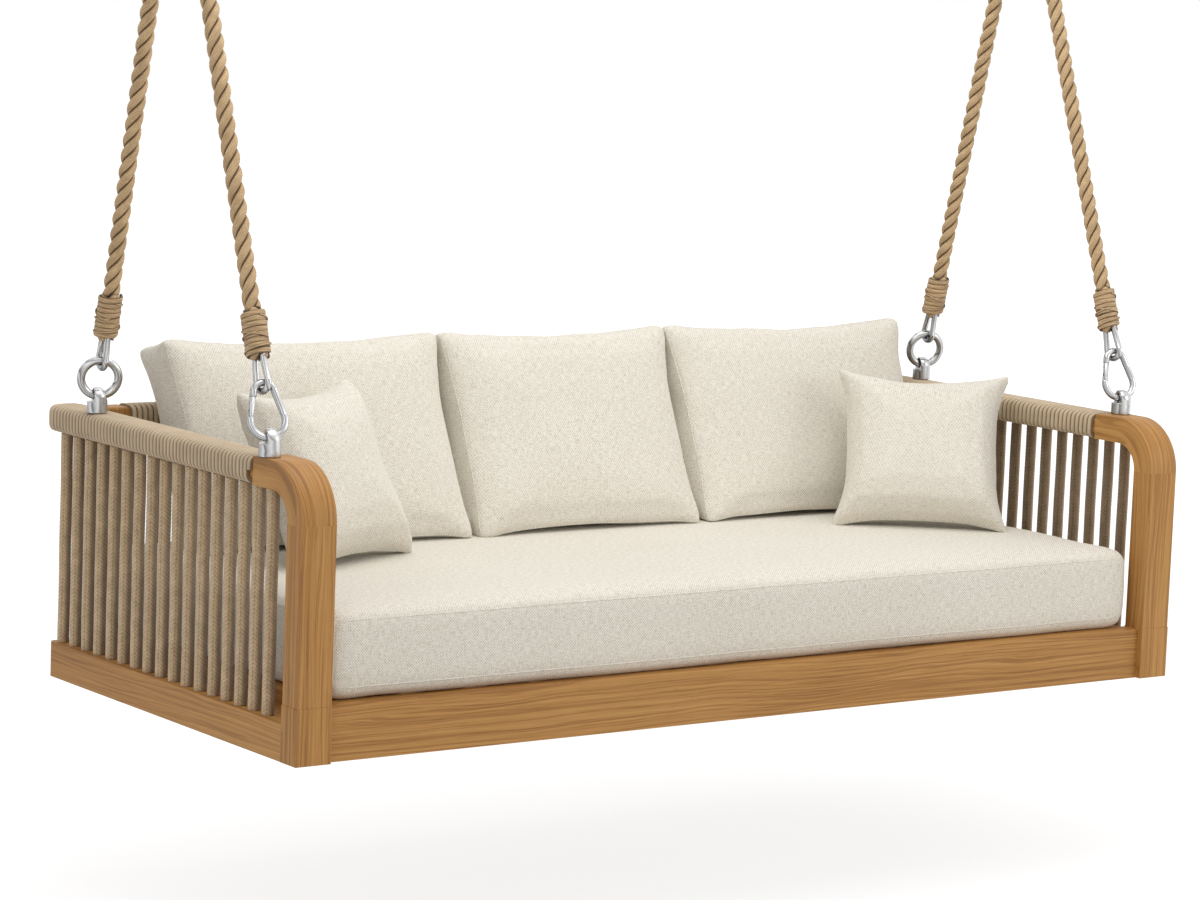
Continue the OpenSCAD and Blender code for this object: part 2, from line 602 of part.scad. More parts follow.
// Back cushion: boxed at its sides, leaning back by a shear, front crowned, top drawn in.
// The three press against each other, the middle one most.
back_place = [[-0.962, 1.046], [0.04, 0.949], [1.0535, 1.07]];
module back_cushion(i) {
    w = back_w * back_place[i + 1][1];
    t = 140;
    lean_back = 0.45;
    // [depth through the cushion, scale of the outline, crown added outwards]
    levels = [[0.02, 0.45, -22], [0.02, 0.75, -17], [0.02, 0.93, -7], [0.03, 0.985, 0], [0.1, 1, 0], [0.5, 1.006, 0],
              [0.9, 1, 0], [0.97, 0.985, 0], [0.98, 0.9, 5], [0.98, 0.5, 8]];
    color(linen) translate([back_w * back_place[i + 1][0], 155, seat_top + 1 + back_h / 2]) skin([for (l = levels)
        [for (p = panel(w, back_h, 9, 30, 7, 9)) let (x = p[0] * l[1], z = p[1] * l[1])
            [x, t * l[0] + l[2] + lean_back * (z + back_h / 2), z]]]);
}
// Toss pillow: two crowned panels sewn edge to edge, sides drawn in between the corners.
toss_left = [24, [-683, -22, seat_top + 2], 26.5];     // turn, place of the foot, tilt
toss_right = [-38, [728, -84, seat_top + 2], 32];
module toss_pillow(lay) {
    t = 135;
    levels = [[-1, 0.25], [-0.93, 0.5], [-0.72, 0.74], [-0.36, 0.92], [0, 1],
              [0.36, 0.92], [0.72, 0.74], [0.93, 0.5], [1, 0.25]];
    color(linen) translate(lay[1]) rotate([0, 0, lay[0]]) rotate([-lay[2], 0, 0]) translate([0, 0, toss_w / 2])
        skin([for (l = levels) [for (p = panel(toss_w, toss_w, 15, 14, 7))
            [p[0] * l[1], l[0] * t / 2, p[1] * l[1]]]]);
}

hang() ceiling_plate(-1);  // left_ceiling_plate
hang() ceiling_plate(1);  // right_ceiling_plate
hang() hanger_pins();
hang() hanger_eye(-1);  // left_hanger_eye
hang() hanger_eye(1);  // right_hanger_eye
hang() rope_saddle(-1);  // left_rope_saddle
hang() rope_saddle(1);  // right_rope_saddle
hang() rope(-1);  // left_rope
hang() rope(1);  // right_rope
hang() rope_end(-1, -1);  // front_left_rope_end
hang() rope_end(-1, 1);  // rear_left_rope_end
hang() rope_end(1, -1);  // front_right_rope_end
hang() rope_end(1, 1);  // rear_right_rope_end
hang() whipping(-1, -1);  // front_left_whipping
hang() whipping(-1, 1);  // rear_left_whipping
hang() whipping(1, -1);  // front_right_whipping
hang() whipping(1, 1);  // rear_right_whipping
hang() link(-1, -1);  // front_left_link
hang() link(-1, 1);  // rear_left_link
hang() link(1, -1);  // front_right_link
hang() link(1, 1);  // rear_right_link
hang() rear_ring(-1);  // rear_left_ring
hang() rear_ring(1);  // rear_right_ring
hang() carabiner(-1);  // left_carabiner
hang() carabiner(1);  // right_carabiner
hang() gate(-1);  // left_gate
hang() gate(1);  // right_gate
hang() eye_stud(-1, -1);  // front_left_eye
hang() eye_stud(-1, 1);  // rear_left_eye
hang() eye_stud(1, -1);  // front_right_eye
hang() eye_stud(1, 1);  // rear_right_eye
hang() front_block(-1);  // front_left_block
hang() front_block(1);  // front_right_block
hang() front_post(-1);  // front_left_post
hang() front_post(1);  // front_right_post
hang() elbow(-1);  // left_elbow
hang() elbow(1);  // right_elbow
hang() arm(-1);  // left_arm
hang() arm(1);  // right_arm
hang() arm_winding(-1);  // left_arm_winding
hang() arm_winding(1);  // right_arm_winding
hang() rear_post(-1);  // rear_left_post
hang() rear_post(1);  // rear_right_post
hang() back_top_rail();
hang() back_rail_winding();
hang() side_cord_group(-1);  // left_cords
hang() side_cord_group(1);  // right_cords
hang() back_cord_group();  // back_cords
hang() front_rail();
hang() back_rail();
hang() side_rail(-1);  // left_side_rail
hang() side_rail(1);  // right_side_rail
hang() slat_deck();
hang() frame_dowels();
hang() seat_cushion();
hang() back_cushion(-1);  // back_cushion_left
hang() back_cushion(0);  // back_cushion_middle
hang() back_cushion(1);  // back_cushion_right
hang() toss_pillow(toss_left);  // toss_pillow_left
hang() toss_pillow(toss_right);  // toss_pillow_right
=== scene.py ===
import bpy, math, random
import numpy as np
from mathutils import Matrix, Vector, noise
from mathutils.bvhtree import BVHTree


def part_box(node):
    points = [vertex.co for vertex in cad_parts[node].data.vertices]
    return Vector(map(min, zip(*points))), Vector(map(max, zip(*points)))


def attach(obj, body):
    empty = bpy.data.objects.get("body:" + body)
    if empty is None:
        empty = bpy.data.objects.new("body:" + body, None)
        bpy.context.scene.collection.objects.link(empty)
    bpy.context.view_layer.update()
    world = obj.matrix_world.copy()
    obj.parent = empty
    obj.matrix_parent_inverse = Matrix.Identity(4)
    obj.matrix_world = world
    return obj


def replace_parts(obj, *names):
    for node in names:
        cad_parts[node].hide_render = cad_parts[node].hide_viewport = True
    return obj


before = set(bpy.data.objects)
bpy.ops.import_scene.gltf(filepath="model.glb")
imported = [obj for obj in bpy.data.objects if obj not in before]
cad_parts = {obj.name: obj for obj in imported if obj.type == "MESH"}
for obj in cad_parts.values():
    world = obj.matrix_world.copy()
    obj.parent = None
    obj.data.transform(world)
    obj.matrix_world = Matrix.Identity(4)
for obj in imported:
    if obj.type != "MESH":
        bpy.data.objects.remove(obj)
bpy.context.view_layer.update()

scene = bpy.context.scene
random.seed(7)
TAU = 2 * math.pi

# ---- the part's own sizes, in millimetres, as its source has them
SIDES = ((-1, "left"), (1, "right"))
ENDS = ((-1, "front"), (1, "rear"))
PAIR_Y, CEILING = 60, 1880            # the frame's origin, from the middle of the base's underside
HALF_L, HALF_D, ARM_H = 1100, 500, 560
POST_W, POST_T, ELBOW_R = 74, 55, 110
RAIL_H, SIDE_RAIL_H, SIDE_RAIL_W = 107, 72, 84
EYE_X, EYE_Y = 1078, {-1: -337, 1: 352}
WIRE_Z = ARM_H + 36                   # middle of the eyes' bores
HOOK_TURN = math.radians(-18)         # of rings, carabiners and eyes about the ropes' line
HOOK_WIRE, HOOK_R = {-1: 14, 1: 17}, {-1: 33, 1: 37.5}      # the carabiner's and the ring's wire and bend
STUD_D, STUD_FOOT = {-1: 43, 1: 41}, {-1: 0.1, 1: 1}        # a stud's diameter, and its foot over the arm
ROPE_D, END_D, END_L = 35, 37.5, 93
BIGHT_Z, BIGHT_R = 1550, 70           # where the rope runs over its saddle
END_FOOT = {-1: 152.1, 1: 122.1}      # rope end over the eye's wire
STRANDS, LAY = 3, 97                  # strands of the rope, and the length of one turn of them
WHIP_TURNS, WHIP_T = 9, 2.9           # bands of a whipping, and half its cord's thickness
ARM_MID_X, ARM_MID_Z = HALF_L - POST_W / 2, ARM_H - POST_T / 2
JOINT_Y, ARM_END_Y = -HALF_D + 187, HALF_D + 30
CORE_W, CORE_T, WIND_T, ARM_CORNER_R = POST_W - 4, 40, 8, 34
ARM_TURNS, BACK_TURNS = 62, 153
REAR_POST_X, REAR_POST_W = HALF_L - SIDE_RAIL_W - 29, 58
BACK_Y, BACK_CORE = HALF_D - 31, 42
CORD_D, SIDE_CORDS, BACK_CORDS = 25, 17, 36
CORD_X, CORD_FROM, CORD_TO = HALF_L - 21, JOINT_Y - 45, HALF_D - 24
SEAT_TOP = 284
SEAT_W, SEAT_FROM, SEAT_TO = 2 * (HALF_L - SIDE_RAIL_W + 1), -HALF_D + 25, HALF_D - 66
SEAT_FOOT = RAIL_H + 0.6
BACK_W, BACK_H, BACK_T, LEAN_BACK, BACK_FOOT_Y = 626, 424, 140, 0.45, 155
BACK_PLACE = {"left": (-0.962, 1.046), "middle": (0.04, 0.949), "right": (1.0535, 1.07)}
BACK_DROP = 34                        # slope of a back cushion's top, over its depth
TOSS_W = 385
TOSS = {"left": (24, (-683, -22), 26.5), "right": (-38, (728, -84), 32)}     # turn, place and tilt


def at(x, y, z):
    """A point given in millimetres over the base's underside, in the part's frame."""
    return Vector((x, y - PAIR_Y, z - CEILING)) / 1000


def placed(name, data):
    """A new object in the scene."""
    obj = bpy.data.objects.new(name, data)
    scene.collection.objects.link(obj)
    return obj


# ---- camera
def camera():
    """A long lens from the bed's front left, as the photograph was taken."""
    data = bpy.data.cameras.new("camera")
    data.lens, data.sensor_width, data.sensor_fit = 115.735, 36, "HORIZONTAL"
    data.shift_x, data.clip_end = -0.1, 60
    cam = placed("camera", data)
    yaw, pitch, roll = 0.646011, -0.127024, 0.042001
    ahead = Vector((math.sin(yaw) * math.cos(pitch), math.cos(yaw) * math.cos(pitch), math.sin(pitch)))
    side = ahead.cross(Vector((0, 0, 1))).normalized()
    up = side.cross(ahead)
    x = side * math.cos(roll) + up * math.sin(roll)
    y = -side * math.sin(roll) + up * math.cos(roll)
    cam.matrix_world = Matrix((x, y, -ahead)).transposed().to_4x4()
    cam.location = at(-4716.06, -6561.05, 1523.09)
    scene.camera = cam


camera()


# ---- mesh helpers
def put(name, mesh, body, material):
    """A smooth piece that rides on a body."""
    mesh.materials.clear()
    mesh.materials.append(material)
    mesh.polygons.foreach_set("use_smooth", [True] * len(mesh.polygons))
    obj = placed(name, mesh)
    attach(obj, body)
    return obj


def around(sides, start=0.0):
    """The angles of a ring's points, from a share of a turn."""
    return [TAU * (j / sides + start) for j in range(sides)]


def signed(value, power):
    """A power that keeps the value's sign, which squares off a circle when it is under 1."""
    return math.copysign(abs(value) ** power, value)


class Build:
    """Gathers tubes into one mesh."""
    def __init__(self):
        self.verts, self.faces, self.uvs = [], [], []

    def tube(self, rings, v_of, caps=True):
        """A skin over rings of points. UV runs 0 to 1 round it, and by v_of along it."""
        n, first = len(rings[0]), len(self.verts)
        for ring in rings:
            self.verts += [tuple(p) for p in ring]
        for i in range(len(rings) - 1):
            a = first + i * n
            for j in range(n):
                k = (j + 1) % n
                self.faces.append((a + j, a + k, a + n + k, a + n + j))
                u0, u1, v0, v1 = j / n, (j + 1) / n, v_of[i], v_of[i + 1]
                self.uvs += [u0, v0, u1, v0, u1, v1, u0, v1]
        if caps:
            for start, order in ((first, -1), (first + (len(rings) - 1) * n, 1)):
                self.faces.append(tuple(start + j for j in range(n))[::order])
                self.uvs += [0, 0] * n

    def piece(self, name, body, material):
        mesh = bpy.data.meshes.new(name)
        mesh.from_pydata(self.verts, [], self.faces)
        mesh.uv_layers.new(name="UVMap").data.foreach_set("uv", self.uvs)
        return put(name, mesh, body, material)


def dense(points, step):
    """The polyline's points at equal steps, with the distance along it."""
    out, along = [(points[0].copy(), 0.0)], 0.0
    total = sum((b - a).length for a, b in zip(points, points[1:]))
    count = max(2, round(total / step))
    gap, want, k = total / count, total / count, 1
    for a, b in zip(points, points[1:]):
        length = (b - a).length
        while k <= count and want <= along + length + 1e-9:
            out.append((a.lerp(b, (want - along) / length), want))
            k, want = k + 1, want + gap
        along += length
    return out


STRAND_SHARE = 0.485                  # a strand's thickness in the rope's
STRAND_SIDES, STRAND_STEP = 14, 0.005
SEAM_SIDES = 6


def twisted(build, points, diameter, phase):
    """Right-laid strands round a line that stays square to the X axis."""
    line = dense(points, STRAND_STEP)
    across, lay = Vector((1, 0, 0)), LAY / 1000
    rs = diameter / 2 * STRAND_SHARE
    rc = diameter / 2 - rs
    for s in range(STRANDS):
        rings = []
        for i, (p, along) in enumerate(line):
            a, b = line[max(i - 1, 0)][0], line[min(i + 1, len(line) - 1)][0]
            t = (b - a).normalized()
            u = (across - t * across.dot(t)).normalized()
            v = t.cross(u)
            f = TAU * (along / lay + s / STRANDS) + phase
            out = u * math.cos(f) + v * math.sin(f)
            turn = -u * math.sin(f) + v * math.cos(f)
            run = (t * lay + turn * TAU * rc).normalized()
            flat = run.cross(out)
            rings.append([p + out * rc + rs * (out * math.cos(q) + flat * math.sin(q))
                          for q in around(STRAND_SIDES, 0.5)])
        build.tube(rings, [along for _, along in line])


def fine_tube(build, points, radius, closed):
    """A thin tube along points, as a seam's ridge."""
    n = len(points)
    rings = []
    for i in range(n + (1 if closed else 0)):
        p = points[i % n]
        a = points[(i - 1) % n] if closed else points[max(i - 1, 0)]
        b = points[(i + 1) % n] if closed else points[min(i + 1, n - 1)]
        t = (b - a).normalized()
        u = t.orthogonal().normalized() if i == 0 else (u - t * u.dot(t)).normalized()
        v = t.cross(u)
        rings.append([p + radius * (u * math.cos(q) + v * math.sin(q)) for q in around(SEAM_SIDES)])
    build.tube(rings, [0.004 * i for i in range(len(rings))], caps=not closed)


def points_of(mesh):
    co = np.empty(len(mesh.vertices) * 3)
    mesh.vertices.foreach_get("co", co)
    return co.reshape(-1, 3)


def set_points(mesh, co):
    mesh.vertices.foreach_set("co", co.ravel())
    mesh.update()


def baked(obj):
    """The object's mesh with its modifiers applied, in place of its own."""
    mesh = bpy.data.meshes.new_from_object(obj.evaluated_get(bpy.context.evaluated_depsgraph_get()))
    obj.modifiers.clear()
    obj.data = mesh
    return mesh


# ---- materials
WEAVE = 0.0058                        # two threads of the linen's basket weave, in metres
PLAIT, PLAIT_SLOPE = 8.0, 1.9         # millimetres of cord to a strand of its plait, and a strand's climb


def feed(tree, socket, value):
    """Links a node's input to an output, or sets it."""
    if isinstance(value, bpy.types.NodeSocket):
        tree.links.new(value, socket)
    else:
        socket.default_value = value


def node(tree, kind, ins=None, **props):
    """A new node with its settings and its inputs."""
    n = tree.nodes.new(kind)
    for key, value in props.items():
        setattr(n, key, value)
    for key, value in (ins or {}).items():
        feed(tree, n.inputs[key], value)
    return n


def do(tree, operation, *values):
    return node(tree, "ShaderNodeMath", dict(enumerate(values)), operation=operation).outputs[0]


def times(tree, value, *others):
    for other in others:
        value = do(tree, "MULTIPLY", value, other)
    return value


def plus(tree, value, *others):
    for other in others:
        value = do(tree, "ADD", value, other)
    return value


def hypot(tree, a, b):
    return do(tree, "SQRT", plus(tree, do(tree, "POWER", a, 2.0), do(tree, "POWER", b, 2.0)))


def size_of(tree, value):
    return do(tree, "ABSOLUTE", value)


def coords(tree):
    return node(tree, "ShaderNodeTexCoord").outputs


def split(tree, vector):
    return node(tree, "ShaderNodeSeparateXYZ", {"Vector": vector}).outputs


def joined(tree, *parts):
    return node(tree, "ShaderNodeCombineXYZ", dict(enumerate(parts))).outputs[0]


def mapped(tree, value, start=(0.0, 1.0), to=(0.0, 1.0), smooth=False):
    """A value taken from one range to another, and kept within it."""
    ins = {"Value": value, "From Min": start[0], "From Max": start[1], "To Min": to[0], "To Max": to[1]}
    shape = "SMOOTHSTEP" if smooth else "LINEAR"
    return node(tree, "ShaderNodeMapRange", ins, interpolation_type=shape).outputs[0]


def rgb(*c):
    return (*c, 1)


def ramp(tree, fac, *stops):
    """A colour for each place of a value, blended between the stops."""
    r = node(tree, "ShaderNodeValToRGB", {"Fac": fac})
    e = r.color_ramp.elements
    while len(e) < len(stops):
        e.new(0.5)
    for el, (pos, colour) in zip(e, stops):
        el.position, el.color = pos, rgb(*colour)
    return r.outputs[0]


def shaded(tree, base, shade, share=1.0):
    """One colour multiplied by another."""
    ins = {0: share, 6: base, 7: shade}
    return node(tree, "ShaderNodeMix", ins, data_type="RGBA", blend_type="MULTIPLY").outputs[2]


def scaled(tree, vector, *scale):
    return node(tree, "ShaderNodeMapping", {"Vector": vector, "Scale": scale}).outputs[0]


def noisy(tree, vector, scale, detail=4.0, roughness=0.5, distortion=0.0):
    ins = {"Vector": vector, "Scale": scale, "Detail": detail}
    ins.update({"Roughness": roughness, "Distortion": distortion})
    return node(tree, "ShaderNodeTexNoise", ins).outputs[0]


def material(name, **shader):
    m = bpy.data.materials.new(name)
    m.use_nodes = True
    tree = m.node_tree
    tree.nodes.clear()
    bsdf = node(tree, "ShaderNodeBsdfPrincipled", {k.replace("_", " "): v for k, v in shader.items()})
    node(tree, "ShaderNodeOutputMaterial", {"Surface": bsdf.outputs[0]})
    return m, tree, bsdf


def finished(tree, bsdf, colour, height, strength, distance):
    """Gives a material its colour and its bump."""
    feed(tree, bsdf.inputs["Base Color"], colour)
    relief = node(tree, "ShaderNodeBump", {"Height": height, "Strength": strength, "Distance": distance})
    feed(tree, bsdf.inputs["Normal"], relief.outputs[0])


def steel():
    """Satin steel, with a painted reflection in its colour: light and dark streaks along its bends, set by
    the way its surface faces.
    """
    m, tree, bsdf = material("satin_steel", Metallic=1.0)
    coord = coords(tree)
    big = noisy(tree, coord["Object"], 42.0, 3.0)
    brushed = noisy(tree, scaled(tree, coord["Object"], 1, 1, 0.12), 900.0, 3.0)
    # painted reflection: light and dark bands chosen by which way the surface faces
    towards = {0: coord["Normal"], 1: (0.42, -0.3, 0.74)}
    facing = node(tree, "ShaderNodeVectorMath", towards, operation="DOT_PRODUCT").outputs["Value"]
    turn = plus(tree, facing, times(tree, do(tree, "SUBTRACT", big, 0.5), 0.22))
    turn = plus(tree, times(tree, turn, 0.5), 0.5)
    painted_reflection = ramp(tree, turn, (0.1, (0.16, 0.16, 0.165)), (0.3, (0.34, 0.34, 0.345)), (0.37, (0.6, 0.6, 0.6)),
                  (0.415, (0.15, 0.15, 0.155)), (0.47, (0.4, 0.4, 0.4)), (0.56, (0.66, 0.66, 0.66)),
                  (0.64, (0.33, 0.33, 0.335)), (0.7, (0.62, 0.62, 0.62)), (0.86, (0.72, 0.72, 0.72)))
    grain = ramp(tree, brushed, (0.3, (0.9, 0.9, 0.9)), (0.7, (1, 1, 1)))
    feed(tree, bsdf.inputs["Roughness"], mapped(tree, big, to=(0.2, 0.34)))
    finished(tree, bsdf, shaded(tree, painted_reflection, grain), brushed, 0.02, 0.0003)
    return m


def strand(name, light, dark, yarns, slope, groove, fuzz=900.0):
    """Twisted fibre. UV's first number is 0.5 on a strand's back, and the second is metres along it.

    groove is the cosine of the turn from the back at which the strand is down in its groove, where shade is
    painted into the colour.
    """
    m, tree, bsdf = material(name, Roughness=0.9, Sheen_Weight=0.15, Sheen_Roughness=0.6)
    coord = coords(tree)
    across, along = split(tree, coord["UV"])[:2]
    back = do(tree, "COSINE", times(tree, do(tree, "SUBTRACT", across, 0.5), TAU))
    # painted shade: the colour darkens down in the grooves between strands
    deep = mapped(tree, back, (groove, groove + 0.6), (0.1, 1.0), smooth=True)
    wave = do(tree, "SINE", plus(tree, times(tree, across, yarns * TAU), times(tree, along, slope * TAU)))
    line = mapped(tree, wave, (-1.0, 1.0), (0.72, 1.0))
    fibre = noisy(tree, scaled(tree, coord["UV"], 30, 70, 1), 1.0, 5.0, 0.65)
    small = noisy(tree, coord["Object"], fuzz, 5.0, 0.7)
    big = noisy(tree, coord["Object"], 40.0)
    grain = plus(tree, times(tree, fibre, 0.9), times(tree, small, 0.5))
    both = times(tree, deep, line, grain)
    tone = ramp(tree, both, (0.05, tuple(c * 0.45 for c in dark)), (0.28, dark), (0.72, light))
    shade = ramp(tree, big, (0.35, (0.84, 0.82, 0.79)), (0.65, (1.05, 1.05, 1.05)))
    finished(tree, bsdf, shaded(tree, tone, shade), times(tree, line, grain), 0.6, 0.0012)
    return m


def winding(name, light, dark):
    """Close-wound cord: lighter on a turn's back, with painted shade where it meets the next, less of it on
    level faces, which are smoother.
    """
    m, tree, bsdf = material(name, Roughness=0.72, Sheen_Weight=0.15, Sheen_Roughness=0.5)
    coord = coords(tree)
    # painted shade in the creases between turns, weaker on level faces
    back = size_of(tree, do(tree, "COSINE", times(tree, split(tree, coord["UV"])[0], TAU)))
    level = do(tree, "POWER", size_of(tree, split(tree, coord["Normal"])[2]), 3.0)
    back = do(tree, "MAXIMUM", back, times(tree, level, 0.75))
    fibre = noisy(tree, scaled(tree, coord["UV"], 6, 1500, 1), 1.0, 3.0)
    yarn = noisy(tree, coord["Object"], 1500.0, 4.0, 0.7)
    grain = plus(tree, times(tree, fibre, 0.5), times(tree, yarn, 0.5))
    big = noisy(tree, coord["Object"], 24.0, 3.0)
    tone = times(tree, do(tree, "POWER", back, 0.5), plus(tree, times(tree, grain, 0.7), 0.65))
    base = ramp(tree, tone, (0.25, dark), (0.95, light))
    shade = ramp(tree, big, (0.3, (0.88, 0.87, 0.85)), (0.7, (1.04, 1.04, 1.04)))
    finished(tree, bsdf, shaded(tree, base, shade), tone, 0.35, 0.0012)
    return m


def outward(tree, axis):
    """1 where a surface faces away from the bed's middle along an axis, -1 where it faces in."""
    coord = coords(tree)
    place, facing = (split(tree, coord[key])[axis] for key in ("Object", "Normal"))
    return times(tree, do(tree, "SIGN", place), facing)


def plaited(name, light, dark, axis):
    """Soft plaited cord: slanting strands in chevrons, fuzzy, with painted shade between strands and at its
    seams, painted shade on the inside and painted light on the outside along axis.
    """
    m, tree, bsdf = material(name, Roughness=0.95, Sheen_Weight=0.35, Sheen_Roughness=0.5)
    coord = coords(tree)
    round_it, along = split(tree, coord["UV"])[:2]
    across = times(tree, do(tree, "PINGPONG", round_it, 0.25), 4.0)
    phase = plus(tree, times(tree, along, 1000 / PLAIT), times(tree, across, PLAIT_SLOPE))
    # painted shade: darker between the chevrons' strands and along the seams between their columns
    lobe = size_of(tree, do(tree, "SINE", times(tree, phase, math.pi)))
    seam = mapped(tree, do(tree, "PINGPONG", round_it, 0.125), (0.0, 0.03), (0.72, 1.0))
    fibre = noisy(tree, scaled(tree, coord["Object"], 1, 1, 0.3), 700.0, 5.0, 0.7)
    big = noisy(tree, coord["Object"], 45.0)
    strands = plus(tree, times(tree, do(tree, "POWER", lobe, 0.7), 0.3), 0.7)
    both = times(tree, strands, seam, plus(tree, times(tree, fibre, 1.5), 0.1))
    tone = ramp(tree, both, (0.25, dark), (0.9, light))
    shade = ramp(tree, big, (0.3, (0.84, 0.83, 0.81)), (0.7, (1.08, 1.08, 1.08)))
    # painted light on the side that faces away from the bed's middle, painted shade on the side that faces in
    painted_inner_shade = ramp(tree, mapped(tree, outward(tree, axis), (-1.0, 1.0)), (0.1, (0.38, 0.355, 0.32)),
                  (0.5, (0.5, 0.475, 0.44)), (0.85, (1.06, 1.05, 1.04)))
    finished(tree, bsdf, shaded(tree, shaded(tree, tone, painted_inner_shade), shade), both, 0.7, 0.0014)
    return m


def teak(name, grain):
    """Sawn and oiled teak. grain turns the object's coordinates into (along, across, across) of the board."""
    m, tree, bsdf = material(name, Specular_IOR_Level=0.35)
    p = grain(tree, coords(tree)["Object"])
    wander = noisy(tree, scaled(tree, p, 1.1, 9, 9), 1.0, 3.0, 0.5, 0.5)
    along, wide, deep = split(tree, p)
    # growth rings of uneven width, as cones that a board's face cuts into arches
    r = hypot(tree, plus(tree, wide, 0.02), plus(tree, deep, 0.031))
    r = plus(tree, r, times(tree, wander, 0.07))
    rings = noisy(tree, joined(tree, times(tree, r, 190.0), times(tree, along, 0.9)), 1.0, 2.0, 0.6)
    fibre = noisy(tree, scaled(tree, p, 5, 230, 230), 1.0, 6.0, 0.7)
    pores = noisy(tree, scaled(tree, p, 26, 1500, 1500), 1.0, 2.0)
    growth = plus(tree, times(tree, rings, 0.4), times(tree, wander, 0.24))
    tone = plus(tree, times(tree, fibre, 0.36), growth)
    base = ramp(tree, tone, (0.36, (0.235, 0.1, 0.024)), (0.47, (0.39, 0.181, 0.043)),
                (0.6, (0.51, 0.265, 0.077)))
    late = ramp(tree, rings, (0.39, (1, 1, 1)), (0.44, (0.6, 0.52, 0.43)), (0.47, (1, 1, 1)))
    dots = ramp(tree, pores, (0.28, (0.62, 0.56, 0.5)), (0.42, (1, 1, 1)))
    base = shaded(tree, shaded(tree, base, late, 0.6), dots, 0.6)
    feed(tree, bsdf.inputs["Roughness"], mapped(tree, fibre, to=(0.46, 0.62)))
    finished(tree, bsdf, base, plus(tree, fibre, times(tree, pores, 0.6)), 0.1, 0.0006)
    return m


def straight(order):
    """Grain along the axis that comes first in order."""
    def grain(tree, spot):
        parts = split(tree, spot)
        return joined(tree, *(parts["XYZ".index(a)] for a in order))
    return grain


def bent(tree, spot):
    """Grain that follows the post, the elbow's curve and the arm."""
    parts = split(tree, spot)
    centre = at(0, -HALF_D + ELBOW_R, ARM_H - ELBOW_R)
    y = do(tree, "SUBTRACT", parts[1], centre.y)
    z = do(tree, "SUBTRACT", parts[2], centre.z)
    back, up = (do(tree, "MAXIMUM", value, 0.0) for value in (y, z))
    front, down = size_of(tree, do(tree, "MINIMUM", y, -1e-5)), do(tree, "MINIMUM", z, 0.0)
    turn = times(tree, do(tree, "ARCTAN2", up, front), ELBOW_R / 1000)
    along = plus(tree, turn, plus(tree, back, down))
    return joined(tree, along, hypot(tree, front, up), parts[0])


def linen():
    """Ecru linen: slubby threads both ways in a basket weave, laid on whichever way the cloth faces."""
    m, tree, bsdf = material("ecru_linen", Roughness=0.92, Sheen_Weight=0.15, Sheen_Roughness=0.5)
    spot = coords(tree)["Object"]
    facing = split(tree, node(tree, "ShaderNodeNewGeometry").outputs["Normal"])
    xyz = split(tree, spot)
    total, weight = 0.0, 0.0
    for a in range(3):
        u, v = xyz[(a + 1) % 3], xyz[(a + 2) % 3]
        flat = joined(tree, u, v)
        warp, weft = (noisy(tree, scaled(tree, flat, *scale), 1.0, 3.0, 0.6)
                      for scale in ((75, 430, 1), (430, 75, 1)))
        su, sv = (do(tree, "SINE", times(tree, way, TAU / WEAVE)) for way in (u, v))
        threads = plus(tree, times(tree, warp, 0.5), times(tree, weft, 0.5))
        cloth = plus(tree, threads, times(tree, su, sv, 0.15))
        share = do(tree, "POWER", size_of(tree, facing[a]), 4.0)
        total = plus(tree, total, times(tree, share, cloth))
        weight = plus(tree, weight, share)
    cloth = do(tree, "DIVIDE", total, weight)
    base = ramp(tree, cloth, (0.33, (0.5, 0.445, 0.35)), (0.49, (0.745, 0.702, 0.61)),
                (0.66, (0.85, 0.82, 0.75)))
    big = noisy(tree, spot, 3.0, 3.0)
    shade = ramp(tree, big, (0.3, (0.97, 0.965, 0.955)), (0.7, (1.0, 1.0, 1.0)))
    finished(tree, bsdf, shaded(tree, base, shade), cloth, 0.5, 0.0012)
    return m


CORD_TONES = (0.68, 0.505, 0.315), (0.15, 0.095, 0.05)
STEEL = steel()
ROPE = strand("laid_rope", (0.66, 0.465, 0.255), (0.3, 0.18, 0.08), 11, -26, -0.12)
WHIPPING = strand("whipping_cord", (0.63, 0.44, 0.245), (0.25, 0.15, 0.065), 6, 30, 0.3, 1400.0)
WRAP = winding("winding_cord", (0.58, 0.445, 0.29), (0.1, 0.064, 0.034))
PLAITED = plaited("plaited_cord", *CORD_TONES, 0)
PLAITED_BACK = plaited("plaited_cord_back", *CORD_TONES, 1)
TEAK = {"x": teak("teak_along", straight("XZY")), "y": teak("teak_deep", straight("YZX")),
        "z": teak("teak_upright", straight("ZXY")), "bent": teak("teak_bent", bent)}
LINEN = linen()

# ---- the CAD nodes that stay: wood, by the way its grain runs, and steel
WOOD = {"x": ("front_rail", "back_rail", "back_top_rail", "frame_dowels"),
        "y": ("slat_deck", "_side_rail", "_arm"), "z": ("_block", "_post"), "bent": ("_elbow",)}
METAL = ("_plate", "_pins", "_hanger_eye", "_saddle", "_link", "_ring", "_carabiner", "_gate", "_eye")
WOOD_EDGE, METAL_EDGE = 0.0022, 0.0006
WELD = 0.00002
for name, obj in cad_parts.items():
    grain = next((way for way, words in WOOD.items() if name.endswith(words)), None)
    if not (grain or name.endswith(METAL)):
        continue
    obj.data.materials.clear()
    obj.data.materials.append(TEAK[grain] if grain else STEEL)
    obj.modifiers.new("weld", "WELD").merge_threshold = WELD
    edge = obj.modifiers.new("edge", "BEVEL")
    edge.width, edge.segments, edge.limit_method = (WOOD_EDGE if grain else METAL_EDGE), 2, "ANGLE"
    edge.angle_limit = math.radians(35)
    edge.harden_normals = True


